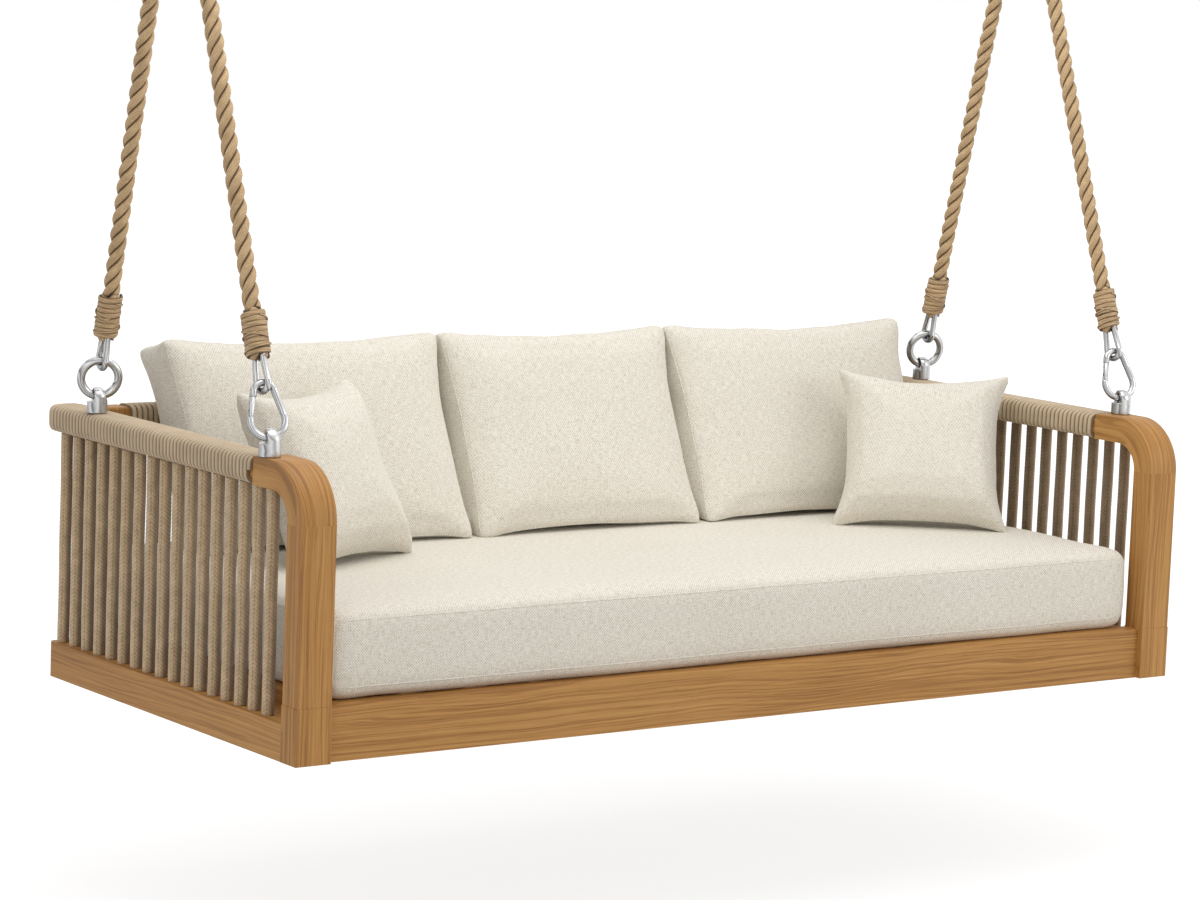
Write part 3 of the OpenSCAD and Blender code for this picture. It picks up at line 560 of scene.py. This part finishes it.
# ---- carrying ropes: three strands, up from the front rope end, over the saddle, down to the rear one
RISE = BIGHT_Z - WIRE_Z
REACH = {end: math.hypot(RISE, PAIR_Y - y) for end, y in EYE_Y.items()}
LEAN = {end: math.atan(abs(PAIR_Y - y) / RISE) - math.asin(BIGHT_R / REACH[end]) for end, y in EYE_Y.items()}
LEG = {end: math.sqrt(r * r - BIGHT_R * BIGHT_R) for end, r in REACH.items()}


def chain(side, end, s):
    """A point s above the eye's wire, along the rope's straight leg."""
    return at(side * EYE_X, EYE_Y[end] - end * s * math.sin(LEAN[end]), WIRE_Z + s * math.cos(LEAN[end]))


def rope_route(side):
    first, last = (END_FOOT[end] + END_L + 0.4 for end, _ in ENDS)
    up = [chain(side, -1, first + (LEG[-1] - first) * i / 10) for i in range(11)]
    turn = [math.pi - LEAN[-1] + (LEAN[1] - math.pi + LEAN[-1]) * i / 13 for i in range(1, 13)]
    over = [at(side * EYE_X, PAIR_Y + BIGHT_R * math.cos(t), BIGHT_Z + BIGHT_R * math.sin(t)) for t in turn]
    down = [chain(side, 1, LEG[1] + (last - LEG[1]) * i / 10) for i in range(11)]
    return up + over + down


def oval(centre, out, up, half_out, half_up, sides, power=1.0):
    """A cord's ring in the directions out and up, with its half sizes in millimetres."""
    return [centre + (out * half_out * math.cos(q) + up * half_up * signed(math.sin(q), power)) / 1000
            for q in around(sides, 0.5)]


def blend(values, q):
    """The turns' values, eased from one whole turn to the next."""
    k, w = int(q), q % 1
    w = w * w * (3 - 2 * w)
    return values[k] * (1 - w) + values[k + 1] * w


WHIP_STEPS = 30                       # points of a whipping's turn
# loose turns: where they start and stop in the rope end's length, how many, and the first one's side
LOOSE = ((0.1, 0.52, 1.4, 0.3), (0.86, 0.4, 1.1, 0.75))
LOOSE_T, LOOSE_W, LOOSE_STEPS = 1.8, 2.2, 40


def whipping(build, foot, top):
    """A flattened cord wound unevenly round a rope end, with loose turns over it."""
    axis = (top - foot).normalized()
    u = Vector((1, 0, 0))
    v = axis.cross(u)
    dips = [random.uniform(-0.8, 0.8) for _ in range(WHIP_TURNS + 2)]
    fat = [random.uniform(-0.9, 0.6) for _ in range(WHIP_TURNS + 2)]
    tilt = [random.uniform(-1.5, 1.5) for _ in range(WHIP_TURNS + 2)]
    lean = random.uniform(0, TAU)
    last = WHIP_TURNS - 1
    half, steps = END_L / 2 / WHIP_TURNS, last * WHIP_STEPS
    rings, along = [], []
    for i in range(steps + 1):
        q = i / WHIP_STEPS
        a = TAU * q
        thick = WHIP_T + 0.5 * blend(fat, q)
        inner = min(1.0, q / 0.7, (last - q) / 0.7)
        wander = inner * (blend(dips, q) + blend(tilt, q) * math.sin(a + lean))
        z = half + (END_L - 2 * half) * i / steps + wander
        out = u * math.cos(a) + v * math.sin(a)
        centre = foot + (axis * z + out * (END_D / 2 + 0.2 + thick)) / 1000
        rings.append(oval(centre, out, axis, thick, half * (1.1 + 0.08 * blend(fat, q)), 12, 0.9))
        along.append(q * TAU * END_D / 2000)
    build.tube(rings, along)
    for start, stop, turns, first in LOOSE:
        rings = []
        for i in range(LOOSE_STEPS + 1):
            q = i / LOOSE_STEPS
            a = TAU * (first + turns * q)
            out = u * math.cos(a) + v * math.sin(a)
            reach = END_D / 2 + 2 * WHIP_T - 0.5 + 1.5 * math.sin(math.pi * q) ** 0.3
            centre = foot + (axis * END_L * (start + (stop - start) * q) + out * reach) / 1000
            rings.append(oval(centre, out, axis, LOOSE_T, LOOSE_W, 8))
        build.tube(rings, [0.003 * i for i in range(LOOSE_STEPS + 1)])


for side, word in SIDES:
    route = rope_route(side)
    b = Build()
    twisted(b, route, ROPE_D / 1000, 0.9 * side)
    rope = b.piece(word + "_laid_rope", word + "_ropes", ROPE)
    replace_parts(rope, word + "_rope")
    [tuple(p) for p, _ in dense(route, 0.02)]
    for end, place in ENDS:
        foot, top = (chain(side, end, END_FOOT[end] + s) for s in (0, END_L))
        b = Build()
        whipping(b, foot, top)
        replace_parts(b.piece(f"{place}_{word}_whipping_cord", word + "_ropes", WHIPPING),
                    f"{place}_{word}_whipping")
        b = Build()
        twisted(b, [foot.lerp(top, i / 8) for i in range(9)], (END_D - 1) / 1000, 1.3 * end)
        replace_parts(b.piece(f"{place}_{word}_rope_tail", word + "_ropes", ROPE),
                    f"{place}_{word}_rope_end")


# ---- eyes on the arms: domed studs, cut back on the side where the ring goes in, with a bore that follows it
EYE_LIFT = WIRE_Z - ARM_H


def solid(build, name):
    """The gathered mesh as a bare object."""
    mesh = bpy.data.meshes.new(name)
    mesh.from_pydata(build.verts, [], build.faces)
    return placed(name, mesh)


def domed(end):
    """A stud before it is cut, in millimetres over the middle of its foot."""
    big, foot, centre = STUD_D[end] / 2, STUD_FOOT[end], EYE_LIFT - 3
    profile = [(big - 0.8, foot), (big, foot + 0.8)]
    top = [math.radians(4.3 * i) for i in range(21)]
    profile += [(big * math.cos(t), centre + big * math.sin(t)) for t in top]
    rings = [[(r * math.cos(q), r * math.sin(q), z) for q in around(72)] for r, z in profile]
    b = Build()
    b.tube(rings, [0] * len(rings))
    return solid(b, "stud")


def shoulder(end):
    """What is cut away on one side, down to below the bore."""
    out, into, top, low = -40, -8.5, 60, EYE_LIFT - HOOK_WIRE[end] / 2 - 3
    outline = ((out, top), (into, top), (into, low), (out, low))
    b = Build()
    b.tube([[(x, y, z) for x, z in outline] for y in (-40, 40)], [0, 1])
    return solid(b, "shoulder")


def bore(end):
    """The bore, which leans and bends as the ring does, wider towards its mouths, where the ring sways."""
    lean = Matrix.Rotation(end * LEAN[end], 3, "X")
    lay = Matrix.Rotation(-HOOK_TURN, 3, "Z") @ lean @ Matrix.Rotation(HOOK_TURN, 3, "Z")
    lift, bend = Vector((0, 0, EYE_LIFT)), HOOK_R[end]
    rings = []
    for i in range(33):
        t = math.radians(-80 + 5 * i)
        ray = Vector((math.sin(t), 0, -math.cos(t)))
        r = HOOK_WIRE[end] / 2 + 1.5 + 0.16 * min(abs(t) * bend, 28)
        rings.append([lay @ (ray * (bend + r * math.cos(q)) + Vector((0, r * math.sin(q), bend))) + lift
                      for q in around(24)])
    b = Build()
    b.tube(rings, [0] * len(rings))
    return solid(b, "bore")


def remeshed(obj, voxel, times_smooth):
    """The object's mesh, evened by a voxel remesh and smoothed."""
    r = obj.modifiers.new("remesh", "REMESH")
    r.mode, r.voxel_size = "VOXEL", voxel
    s = obj.modifiers.new("smooth", "SMOOTH")
    s.factor, s.iterations = 0.5, times_smooth
    return baked(obj)


def stud(end):
    """A finished stud's mesh, in millimetres over the middle of its foot."""
    obj, cutters = domed(end), [shoulder(end), bore(end)]
    for cutter in cutters:
        cut = obj.modifiers.new("cut", "BOOLEAN")
        cut.operation, cut.solver, cut.object = "DIFFERENCE", "EXACT", cutter
    mesh = remeshed(obj, 0.8, 4)
    for spare in [obj] + cutters:
        bpy.data.objects.remove(spare)
    return mesh


hook = np.array(Matrix.Rotation(HOOK_TURN, 3, "Z"))
for end, place in ENDS:
    shape = stud(end)
    for side, word in SIDES:
        mesh = shape.copy()
        set_points(mesh, points_of(shape) @ hook.T / 1000 + np.array(at(side * EYE_X, EYE_Y[end], ARM_H)))
        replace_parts(put(f"{place}_{word}_stud", mesh, "bed", STEEL), f"{place}_{word}_eye")


# ---- windings of the arms and the back rail: one cord wound close, its turns round on the sides, flat on top
def drawn_in(y):
    """How far the arm's rounded rear corner has drawn in at y."""
    r = ARM_CORNER_R - WIND_T
    d = y - (ARM_END_Y - r)
    return 0 if d <= 0 else r - math.sqrt(max(0.0, r * r - d * d))


BULGE, FALL_OFF = 0.42, 3.8           # how square a turn is, and its outward direction to match
SKIN = 0.1                            # gap between core and cord


def wound(build, a, c, start, stop, turns, place, flat_top, narrow=lambda s: 0.0, per_turn=28, sides=10):
    """A cord wound round a core of half sizes a and c. place gives the point at (across, along, up)."""
    pitch = (stop - start) / turns
    half = pitch / 2
    mid = WIND_T / 2 + SKIN
    steps = int((turns - 1) * per_turn)
    rings, along = [], []
    for i in range(steps + 1):
        t = TAU * i / per_turn
        s = start + half + (stop - start - pitch) * i / steps
        ax, cz = a + mid - narrow(s + half), c + mid
        x, z = ax * signed(math.cos(t), BULGE), cz * signed(math.sin(t), BULGE)
        nx, nz = signed(x / ax, FALL_OFF) / ax, signed(z / cz, FALL_OFF) / cz
        k = math.hypot(nx, nz)
        nx, nz = nx / k, nz / k
        power = 0.95 - 0.5 * nz ** 2 * flat_top
        ring = []
        for q in around(sides, 0.5 / sides):
            o = (mid - SKIN) * signed(math.cos(q), power)
            l = half * 1.01 * signed(math.sin(q), power)
            ring.append(place(x + nx * o, s + l, z + nz * o))
        rings.append(ring)
        along.append(i / per_turn * 4 * (a + c) / 1000)
    build.tube(rings, along)


for side, word in SIDES:
    b = Build()
    wound(b, CORE_W / 2, CORE_T / 2, JOINT_Y + 1, ARM_END_Y - 2, ARM_TURNS,
          lambda x, s, z: at(side * (ARM_MID_X + x), s, ARM_MID_Z + z), 1.0, drawn_in)
    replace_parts(b.piece(word + "_arm_cord", "bed", WRAP), word + "_arm_winding")
b = Build()
span = REAR_POST_X - REAR_POST_W / 2 - 1
wound(b, BACK_CORE / 2, BACK_CORE / 2, -span, span, BACK_TURNS,
      lambda y, s, z: at(s, BACK_Y + y, ARM_MID_Z + z), 0.6, per_turn=20, sides=8)
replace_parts(b.piece("back_rail_cord", "bed", WRAP), "back_rail_winding")


# ---- upright cords
PLAIT_SIDES, PLAIT_STEP = 18, 2.7
STRAND_DIP, SEAM_DIP = 0.7, 0.6       # how deep the plait's grooves are, between strands and between rows


def plait(build, x, y, z0, z1, twist):
    """A plaited cord: slanting strands in chevrons, their grooves sunk into its side."""
    count = round((z1 - z0) / PLAIT_STEP)
    offset = random.random() * PLAIT
    rings, along = [], []
    for i in range(count + 1):
        z = z0 + (z1 - z0) * i / count
        sway = 0.35 * math.sin(z / 31 + offset)
        ring = []
        for j in range(PLAIT_SIDES):
            u = j / PLAIT_SIDES
            across = abs((u * 2) % 1 - 0.5) * 2
            lobe = abs(math.sin(math.pi * ((z + offset) / PLAIT + PLAIT_SLOPE * (1 - across)))) ** 0.6
            edge = min(1.0, min(across, 1 - across) / 0.16)
            r = CORD_D / 2 - STRAND_DIP * (1 - lobe) - SEAM_DIP * (1 - edge) - 0.2
            q = TAU * u + twist
            ring.append(at(x + sway + r * math.cos(q), y + r * math.sin(q), z))
        rings.append(ring)
        along.append((z + offset) / 1000)
    build.tube(rings, along)


def between(a, b, i, n):
    return a + (b - a) * i / (n - 1)


under_arm = ARM_MID_Z - CORE_T / 2 - WIND_T - 0.4
for side, word in SIDES:
    b = Build()
    for i in range(SIDE_CORDS):
        plait(b, side * CORD_X, between(CORD_FROM, CORD_TO, i, SIDE_CORDS), SIDE_RAIL_H,
              ARM_H - POST_T if i == 0 else under_arm, -math.pi / 4 * side + random.uniform(-0.3, 0.3))
    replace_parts(b.piece(word + "_plaited_cords", "bed", PLAITED), word + "_cords")
b = Build()
reach = REAR_POST_X - REAR_POST_W / 2 - 28
for i in range(BACK_CORDS):
    plait(b, between(-reach, reach, i, BACK_CORDS), BACK_Y, RAIL_H, ARM_MID_Z - BACK_CORE / 2 - WIND_T,
          random.uniform(-0.3, 0.3) + math.pi / 4)
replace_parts(b.piece("back_plaited_cords", "bed", PLAITED_BACK), "back_cords")


# ---- cushions
FILL_STEPS = 20                       # frames of the simulation that fills the covers
SEAM_SINK = 0.0004                    # how far a seam's ridge is sunk in the cover


def normals_of(mesh):
    n = np.empty(len(mesh.vertices) * 3)
    mesh.vertex_normals.foreach_get("vector", n)
    return n.reshape(-1, 3)


def blank(name, node, voxel, inset, times_smooth):
    """A cushion's starting shape: its solid, remeshed, rounded and a little slimmer."""
    obj = put(name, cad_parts[node].data.copy(), "bed", LINEN)
    obj.modifiers.new("weld", "WELD").merge_threshold = WELD
    mesh = remeshed(obj, voxel, times_smooth)
    set_points(mesh, points_of(mesh) - normals_of(mesh) * inset)
    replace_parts(obj, node)
    return obj


def filled(pieces):
    """Blows the covers up by cloth simulation. Each piece: object, pressure, cap, limits."""
    start = [points_of(obj.data).copy() for obj, *_ in pieces]
    for obj, pressure, *_ in pieces:
        s = obj.modifiers.new("cloth", "CLOTH").settings
        s.use_pressure, s.uniform_pressure_force = True, pressure
        s.effector_weights.gravity = 0
        s.mass, s.quality, s.air_damping = 0.3, 5, 2
        s.tension_stiffness = s.compression_stiffness = 12
        s.shear_stiffness, s.bending_stiffness = 5, 0.3
        s.shrink_min = -0.015
    for f in range(1, FILL_STEPS + 1):
        scene.frame_set(f)
    for obj, *_ in pieces:
        baked(obj)
    scene.frame_set(1)
    for (obj, _, cap, limits), before in zip(pieces, start):
        move = points_of(obj.data) - before
        size = np.linalg.norm(move, axis=1)
        move *= np.minimum(1, cap / np.maximum(size, 1e-9))[:, None]
        co = before + evened(obj.data, move, 24)
        set_points(obj.data, co)
        set_points(obj.data, limits(co, normals_of(obj.data)))


def evened(mesh, values, times):
    """The points' values, each drawn towards the mean of its neighbours, again and again."""
    ends = np.empty(len(mesh.edges) * 2, dtype=np.int32)
    mesh.edges.foreach_get("vertices", ends)
    a, b = ends[::2], ends[1::2]
    n = len(values)
    count = np.maximum(np.bincount(a, minlength=n) + np.bincount(b, minlength=n), 1)
    for _ in range(times):
        near = [np.bincount(a, values[b, k], n) + np.bincount(b, values[a, k], n) for k in range(3)]
        values = 0.4 * values + 0.6 * np.stack(near, axis=1) / count[:, None]
    return values


def rippled(co, normals, amount, scale, seed):
    """Adds low unevenness, as a filling gives a cover."""
    push = np.array([noise.noise(Vector(p) * scale + Vector((seed, 0, 0))) for p in co]) * amount
    return co + normals * push[:, None]


def eared(co, corners, centre, push, spread):
    """Draws the corners of a cover out to points."""
    for c in corners:
        c = np.array(c)
        way = (c - np.array(centre)) / np.linalg.norm(c - np.array(centre))
        near = np.exp(-((co - c) ** 2).sum(1) / (2 * (spread / 1000) ** 2))
        co = co + near[:, None] * way * push / 1000
    return co


def subdivided(obj):
    s = obj.modifiers.new("subdivision", "SUBSURF")
    s.levels = s.render_levels = 1
    mesh = baked(obj)
    mesh.polygons.foreach_set("use_smooth", [True] * len(mesh.polygons))


def tree_of(obj):
    mesh = obj.data
    return BVHTree.FromPolygons([v.co for v in mesh.vertices], [p.vertices for p in mesh.polygons])


def on(tree, points):
    """The points, moved onto a cushion's surface."""
    spots = [tree.find_nearest(p) for p in points]
    return [spot - normal * SEAM_SINK for spot, normal, _, _ in spots]


def panel(w, h, pinch, r, count, top=0.0):
    """Outline of a sewn panel with drawn-in sides and rounded corners, in millimetres."""
    out = []
    corner = 0.5 * r
    for q in range(4):
        half, other = (h / 2, w / 2) if q % 2 == 0 else (w / 2, h / 2)
        for i in range(count):
            s = -half + corner + (2 * half - 2 * corner) * i / (count - 1)
            e = (pinch + (top if q == 1 else 0)) * (1 - (s / half) ** 2)
            e += 0.3 * r * math.exp(-(half - abs(s)) / (0.3 * r)) * 0.6
            out.append([(other - e, s), (-s, other - e), (-other + e, -s), (s, -other + e / 2)][q])
    return out


def clamp_box(node, grow, low):
    """Keeps points within a solid's box, grown by millimetres each way, and over its foot."""
    lo, hi = (np.array(v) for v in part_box(node))
    lo, hi = lo - np.array(grow) / 1000, hi + np.array(grow) / 1000
    lo[2] = low
    return lambda co: np.clip(co, lo, hi)


def seat_limits(co, n):
    return clamp_box("seat_cushion", (1, 3, 3), at(0, 0, SEAT_FOOT).z)(rippled(co, n, 0.003, 5.0, 3.0))


seat = blank("seat_pad", "seat_cushion", 0.011, 0.002, 3)
backs = {word: blank(f"back_pad_{word}", f"back_cushion_{word}", 0.0075, 0.003, 6) for word in BACK_PLACE}
tosses = {word: blank(f"toss_pad_{word}", f"toss_pillow_{word}", 0.006, 0.002, 4) for word in TOSS}
jobs = [(seat, 3.0, 0.008, seat_limits)]


def sunk(depth, z):
    """How far a back cushion's top slopes down behind its front seam, in millimetres."""
    return BACK_DROP * np.clip(depth, 0, 1) * np.clip(z / BACK_H + 0.5, 0, 1) ** 2


def on_back(word, x, z, depth):
    """A point of a back cushion: x and z over its middle, depth from its front, 0 to 1."""
    return at(BACK_W * BACK_PLACE[word][0] + x, BACK_FOOT_Y + BACK_T * depth + LEAN_BACK * (z + BACK_H / 2),
              SEAT_TOP + 1 + BACK_H / 2 + z - sunk(depth, z))


def slumped(co):
    """A back cushion's points with its top sloping down to the back."""
    z = co[:, 2] * 1000 + CEILING - SEAT_TOP - 1 - BACK_H / 2
    depth = (co[:, 1] * 1000 + PAIR_Y - BACK_FOOT_Y - LEAN_BACK * (z + BACK_H / 2)) / BACK_T
    co = co.copy()
    co[:, 2] -= sunk(depth, z) / 1000
    return co


def on_toss(word, x, y, z):
    """A point of a toss pillow: x and z over its middle, y through it."""
    turn, (px, py), tilt = TOSS[word]
    lay = Matrix.Rotation(math.radians(turn), 4, "Z") @ Matrix.Rotation(math.radians(-tilt), 4, "X")
    p = lay @ Vector((x, y, z + TOSS_W / 2))
    return at(px + p.x, py + p.y, SEAT_TOP + 2 + p.z)


def back_limits(word, seed):
    """What a back cushion's points go through after the filling."""
    half = BACK_W * BACK_PLACE[word][1] / 2
    corners = [on_back(word, x * half, z * BACK_H / 2, depth)
               for x in (-1, 1) for z in (-1, 1) for depth in (0.06, 0.94)]
    centre = on_back(word, 0, 0, 0.5)
    box = clamp_box(f"back_cushion_{word}", (0.4, 6, 8), at(0, 0, SEAT_TOP + 0.5).z)
    return lambda co, n: box(eared(slumped(rippled(co, n, 0.004, 6.0, seed)), corners, centre, 14, 28))


def toss_limits(word, seed):
    """What a toss pillow's points go through after the filling."""
    corners = [on_toss(word, x * TOSS_W / 2, 0, z * TOSS_W / 2) for x in (-1, 1) for z in (-1, 1)]
    centre = on_toss(word, 0, 0, 0)
    box = clamp_box(f"toss_pillow_{word}", (8, 8, 8), at(0, 0, SEAT_TOP + 1).z)
    return lambda co, n: box(eared(rippled(co, n, 0.003, 8.0, seed), corners, centre, 13, 24))


for k, word in enumerate(BACK_PLACE):
    jobs.append((backs[word], 3.5, 0.008, back_limits(word, 11.0 + k)))
for k, word in enumerate(TOSS):
    jobs.append((tosses[word], 4.0, 0.010, toss_limits(word, 21.0 + k)))
filled(jobs)
for obj, *_ in jobs:
    subdivided(obj)


def seams(name, loops, radius):
    b = Build()
    for points, closed in loops:
        fine_tube(b, points, radius, closed)
    return b.piece(name, "bed", LINEN)


# seat: a seam round the top and the bottom edge, and upright ones at its corners
SEAT_T = SEAT_TOP - SEAT_FOOT
LOW_SEAM, TOP_SEAM = 0.13, 0.895      # shares of the seat cushion's thickness
SEAT_INSET = 8
tree = tree_of(seat)
loops = []
for level in (TOP_SEAM, LOW_SEAM):
    outline = panel(SEAT_W - SEAT_INSET, SEAT_TO - SEAT_FROM - SEAT_INSET, 3, 30, 60)
    ring = [at(x, (SEAT_FROM + SEAT_TO) / 2 + y, SEAT_FOOT + level * SEAT_T) for x, y in outline]
    loops.append((on(tree, ring), True))
for x in (-1, 1):
    for y in (SEAT_FROM + SEAT_INSET, SEAT_TO - SEAT_INSET):
        line = [at(x * (SEAT_W / 2 - SEAT_INSET), y, SEAT_FOOT + SEAT_T * between(LOW_SEAM, TOP_SEAM, i, 13))
                for i in range(13)]
        loops.append((on(tree, line), False))
seams("seat_pad_seams", loops, 0.0016)

# back cushions: a seam round the front and the back panel
for word, (_, wide) in BACK_PLACE.items():
    tree = tree_of(backs[word])
    outline = panel(BACK_W * wide, BACK_H + 4, 9, 6, 40, 9)
    loops = [(on(tree, [on_back(word, x, z, depth) for x, z in outline]), True) for depth in (0.06, 0.95)]
    seams(f"back_pad_{word}_seams", loops, 0.0016)

# toss pillows: one seam round the edge
for word in TOSS:
    ring = [on_toss(word, x, 0, z) for x, z in panel(TOSS_W + 8, TOSS_W + 8, 15, 4, 40)]
    seams(f"toss_pad_{word}_seam", [(on(tree_of(tosses[word]), ring), True)], 0.0014)


# ---- light and floor
AMBIENT = 0.64                        # the surroundings' light on the bed
FLOOR_Z, FLOOR_HALF = -420, 30        # the floor under the base, in millimetres, and half its side in metres
# each lamp's place, what it aims at, its side in metres and its power
LAMPS = {"overhead": ((-200, -500, 3300), (0, 0, 200), 3.0, 58),
         "front": ((3000, -4200, 1600), (0, 0, 250), 2.6, 45),
         "left": ((-4200, -2000, 2200), (-900, 0, 300), 2.4, 10)}


def seen(tree):
    """1 for rays by which the camera sees, straight, mirrored or through, 0 for those that light."""
    path = node(tree, "ShaderNodeLightPath").outputs
    mirrored = do(tree, "MAXIMUM", path["Is Glossy Ray"], path["Is Transmission Ray"])
    return do(tree, "MAXIMUM", path["Is Camera Ray"], mirrored)


def surroundings():
    """White where the camera sees them, dimmer as light."""
    world = bpy.data.worlds.new("studio")
    scene.world = world
    world.use_nodes = True
    tree = world.node_tree
    back = tree.nodes["Background"]
    feed(tree, back.inputs[0], rgb(1, 1, 1))
    feed(tree, back.inputs[1], mapped(tree, seen(tree), to=(AMBIENT, 1.0)))


def pale_floor():
    """Matt as light falls on it, and seen nearly white, rising to white further out."""
    m = bpy.data.materials.new("pale_floor")
    m.use_nodes = True
    tree = m.node_tree
    tree.nodes.clear()
    matt, faint = (node(tree, "ShaderNodeBsdfDiffuse", {"Color": rgb(c, c, c)}).outputs[0]
                   for c in (0.8, 0.3))
    reach = node(tree, "ShaderNodeVectorMath", {0: coords(tree)["Object"]}, operation="LENGTH")
    rise = mapped(tree, reach.outputs["Value"], (2.0, 6.0), (0.8, 1.0), smooth=True)
    glow = node(tree, "ShaderNodeEmission", {"Color": rgb(1, 1, 1), "Strength": rise}).outputs[0]
    both = node(tree, "ShaderNodeAddShader", {0: faint, 1: glow}).outputs[0]
    mix = node(tree, "ShaderNodeMixShader", {0: seen(tree), 1: matt, 2: both})
    node(tree, "ShaderNodeOutputMaterial", {"Surface": mix.outputs[0]})
    return m


def stage():
    surroundings()
    mesh = bpy.data.meshes.new("floor")
    level = at(0, 0, FLOOR_Z).z
    corners = ((-1, -1), (1, -1), (1, 1), (-1, 1))
    mesh.from_pydata([(x * FLOOR_HALF, y * FLOOR_HALF, level) for x, y in corners], [], [(0, 1, 2, 3)])
    mesh.materials.append(pale_floor())
    floor = placed("floor", mesh)
    for name, (place, aim, size, power) in LAMPS.items():
        data = bpy.data.lights.new(name, "AREA")
        data.energy, data.size = power, size
        lamp = placed(name, data)
        lamp.location = at(*place)
        lamp.rotation_euler = (at(*aim) - lamp.location).to_track_quat("-Z", "Y").to_euler()


stage()
scene.view_settings.view_transform = "Standard"
